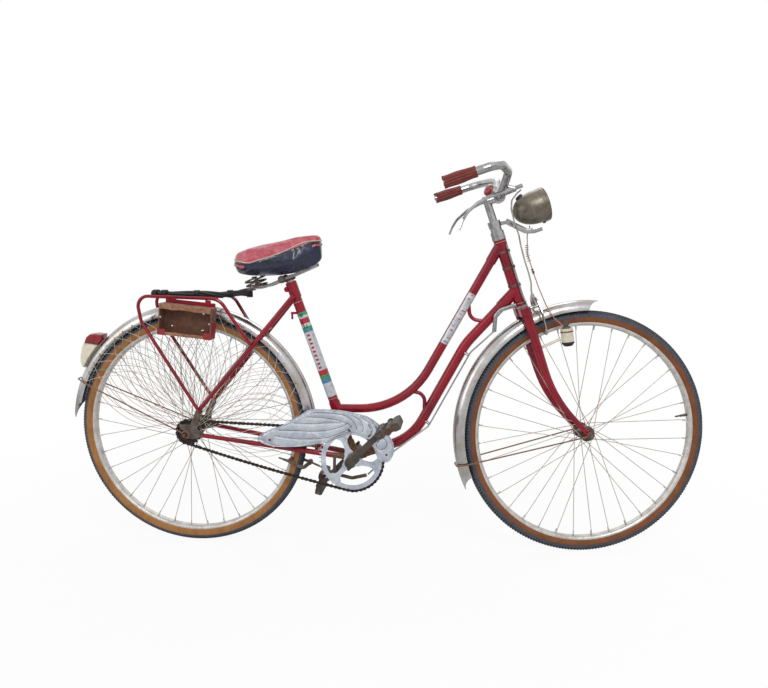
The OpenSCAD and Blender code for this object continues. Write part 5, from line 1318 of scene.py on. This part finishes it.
def buildDecals():
    parts = []
    for start, end, ink in decalLook["bands"]:
        parts.append(sleeve(seatTop - seatDir * end * mm, seatDir, end - start, decalLook["seatRadius"])
            + (ink,))
    # small red ticks down the silver part, broken by wear
    for k in range(9):
        z = 158 + k * 12.5
        for a in (158, -22):
            parts.append(sleeve(seatTop - seatDir * (z + 7) * mm, seatDir, 6, 14.7, 0.3, 8, (a, a + 34))
                + (redInk,))
    topJoint = headLow + steer * decalLook["topJoint"]
    bendUp, bendAhead = decalLook["topBend"]
    topBend = bracket + seatDir * bendUp + Vector((bendAhead, 0, 0))
    run = topBend - topJoint
    total = run.length / mm
    for side in (180, 0):
        length = total * (decalLook["topTo"] - decalLook["topFrom"])
        start = topJoint + run * decalLook["topFrom"]
        parts.append(sleeve(start, run, length, decalLook["topRadius"], 0.25, 16, (side - 62, side + 50))
            + (silverFoil,))
        n = 13
        for k in range(n):
            f = k / n
            wide = 2.4 + 1.2 * math.sin(k * 2.3)
            ink = blueInk if k == 12 else redInk
            if k in (3, 7, 10):
                continue
            parts.append(sleeve(start + run.normalized() * length * (f + 0.02) * mm, run, wide, 13.0, 0.25, 6,
                (side - 26 + 16 * math.sin(k), side + 4 + 16 * math.sin(k * 1.7))) + (ink,))
    assemble("worn_decals", parts, "frame")
    # thin white lining where the tubes meet their lugs
    lines = []
    for foot, along, r in ((headAt(0, 0, 186, straight), steer, 18.1), (headAt(0, 0, 8, straight), steer, 18.1),
            (seatTop - seatDir * 62 * mm, seatDir, 14.4), (bracket + seatDir * 0.110, seatDir, 14.4),
            (bracket + seatDir * 0.182, seatDir, 14.4)):
        lines.append(sleeve(foot, along, 1.3, r, 0.3) + (creamLine,))
    assemble("white_lining", lines, "frame")


buildDecals()
print("decals")

trimLook = {"rod": ((176, 21.4), (150, 21.4), (90, 21.4), (34, 21.4), (14, 22.5), (6, 26)),
    "clips": (158, 112, 60), "lead": ((82, 15, 180), (66, 13, 130), (66, 12, 70))}


def buildHeadTrim():
    # rod with clips ahead of the head tube, and tape wrapped round the leads
    def beside(w, out=trimLook["rod"][0][1]):
        return headAt(out * 0.64, -out * 0.77, w, straight)

    rod = smoothLine([beside(*place) for place in trimLook["rod"]], 6)
    parts = [tube(rod, 2.8 * mm, 8) + (pittedChrome,)]
    for w in trimLook["clips"]:
        parts.append(lathe([(2.6, -4), (4.6, -4), (4.6, 4), (2.6, 4)], beside(w), steer, 14, True)
            + (rustedSteel,))
        parts.append(sleeve(headAt(0, 0, w - 3, straight), steer, 6, 16.0, 1.0, 48) + (rustedSteel,))
    assemble("head_rod", parts, "frame")
    tie = []
    line = smoothLine([headAt(*p) for p in trimLook["lead"]], 10)
    for k in range(6, 14):
        p, q = line[k], line[k + 1]
        tie.append(lathe([(1.4, -1.4), (4.4 + (k % 3) * 0.7, -1.2), (4.2 + (k % 2) * 0.8, 1.4), (1.4, 1.6)], p,
            (q - p), 12, True) + (paleSheath,))
    # black bands further down
    for k, r in ((17, 3.9), (18, 4.3), (19, 3.6)):
        p, q = line[min(k, len(line) - 2)], line[min(k + 1, len(line) - 1)]
        tie.append(lathe([(1.2, -1.6), (r, -1.4), (r, 1.6), (1.2, 1.8)], p, (q - p), 12, True) + (blackRubber,))
    assemble("lead_wraps", tie, "steering")


buildHeadTrim()
print("head trim")

rearLook = {"guardR": 378.4, "half": 20.5,
    "lens": ((-262, 288), (-285, 291), (-303, 289), (-315, 280), (-322, 265), (-300, 263), (-279, 258)),
    "lensArc": (137.2, 134.2),
    "body": ((-279, 257), (-300, 262), (-322.5, 264), (-330, 249), (-335, 228), (-337.5, 206), (-335, 192),
    (-330, 187)), "bodyArc": (150.4, 137.4)}


def buildRearLamp():
    # rounded cream body on the mudguard with its red lens above
    for name, outline, arc, material, slot, node in (("rear_lamp_glass", "lens", "lensArc", redPlastic,
            "red_lens", "rear_lamp_lens"),
            ("rear_lamp_body", "body", "bodyArc", creamEnamel, "cream_paint", "rear_lamp")):
        flat = list(rearLook[outline])
        a0, a1 = rearLook[arc]
        for k in range(7):
            a = math.radians(a0 + (a1 - a0) * k / 6)
            flat.append((rearLook["guardR"] * math.cos(a), rearLook["guardR"] * math.sin(a)))
        cx = sum(p[0] for p in flat) / len(flat)
        cz = sum(p[1] for p in flat) / len(flat)
        rings = []
        for k in range(15):
            u = -1 + 2 * k / 14
            shrink = 1 - 0.13 * abs(u) ** 4
            rings.append([rearAt(cx + (x - cx) * shrink, u * rearLook["half"], cz + (z - cz) * shrink)
                for x, z in flat])
        assemble(name, [loft(rings) + (material,)], "frame", (node,), 50)


buildRearLamp()

cogLook = {"y": -46, "teeth": 18, "root": 34.2, "tip": 39.4, "nutY": 70, "washerY": 67.8, "spots": 16.5}


def buildRearCog():
    # toothed sprocket face with its lock ring and dark spots, and the axle's washers and nuts
    ring = []
    for k in range(cogLook["teeth"] * 6):
        a = 2 * math.pi * k / (cogLook["teeth"] * 6)
        r = cogLook["root"] + (cogLook["tip"] - cogLook["root"]) * (0, 0.35, 1, 1, 0.35, 0)[k % 6]
        ring.append((r * math.cos(a), r * math.sin(a)))
    parts = [loft([[rearAt(x, cogLook["y"] + t, z) for x, z in ring] for t in (-1.1, 1.1)]) + (chainSteel,)]
    parts.append(lathe([(27, -1.2), (29, -3.2), (24, -4.2), (22, -2)], rearAt(0, cogLook["y"], 0), (0, 1, 0),
        36, True) + (chainSteel,))
    for k in range(6):
        a = 2 * math.pi * k / 6
        foot = rearAt(cogLook["spots"] * math.cos(a), cogLook["y"] - 1.4, cogLook["spots"] * math.sin(a))
        parts.append(lathe([(0.1, 0), (4.4, 0), (4.4, 1), (0.1, 1.2)], foot, (0, -1, 0), 14) + (blackRubber,))
    assemble("rear_cog_teeth", parts, "rear_wheel")
    trim = []
    for s in (-1, 1):
        trim.append(lathe([(5.2, 0), (9.4, 0), (9.4, 7), (8.2, 8), (5.2, 8)], rearAt(0, s * cogLook["nutY"], 0),
            (0, s, 0), 6, True) + (rustedWire,))
        trim.append(lathe([(5.2, 0), (12.4, 0), (12.4, 1.6), (5.2, 1.6)], rearAt(0, s * cogLook["washerY"], 0),
            (0, s, 0), 28, True) + (rustedWire,))
    assemble("rear_axle_nuts", trim, "frame")


buildRearCog()
print("rear lamp and cog")
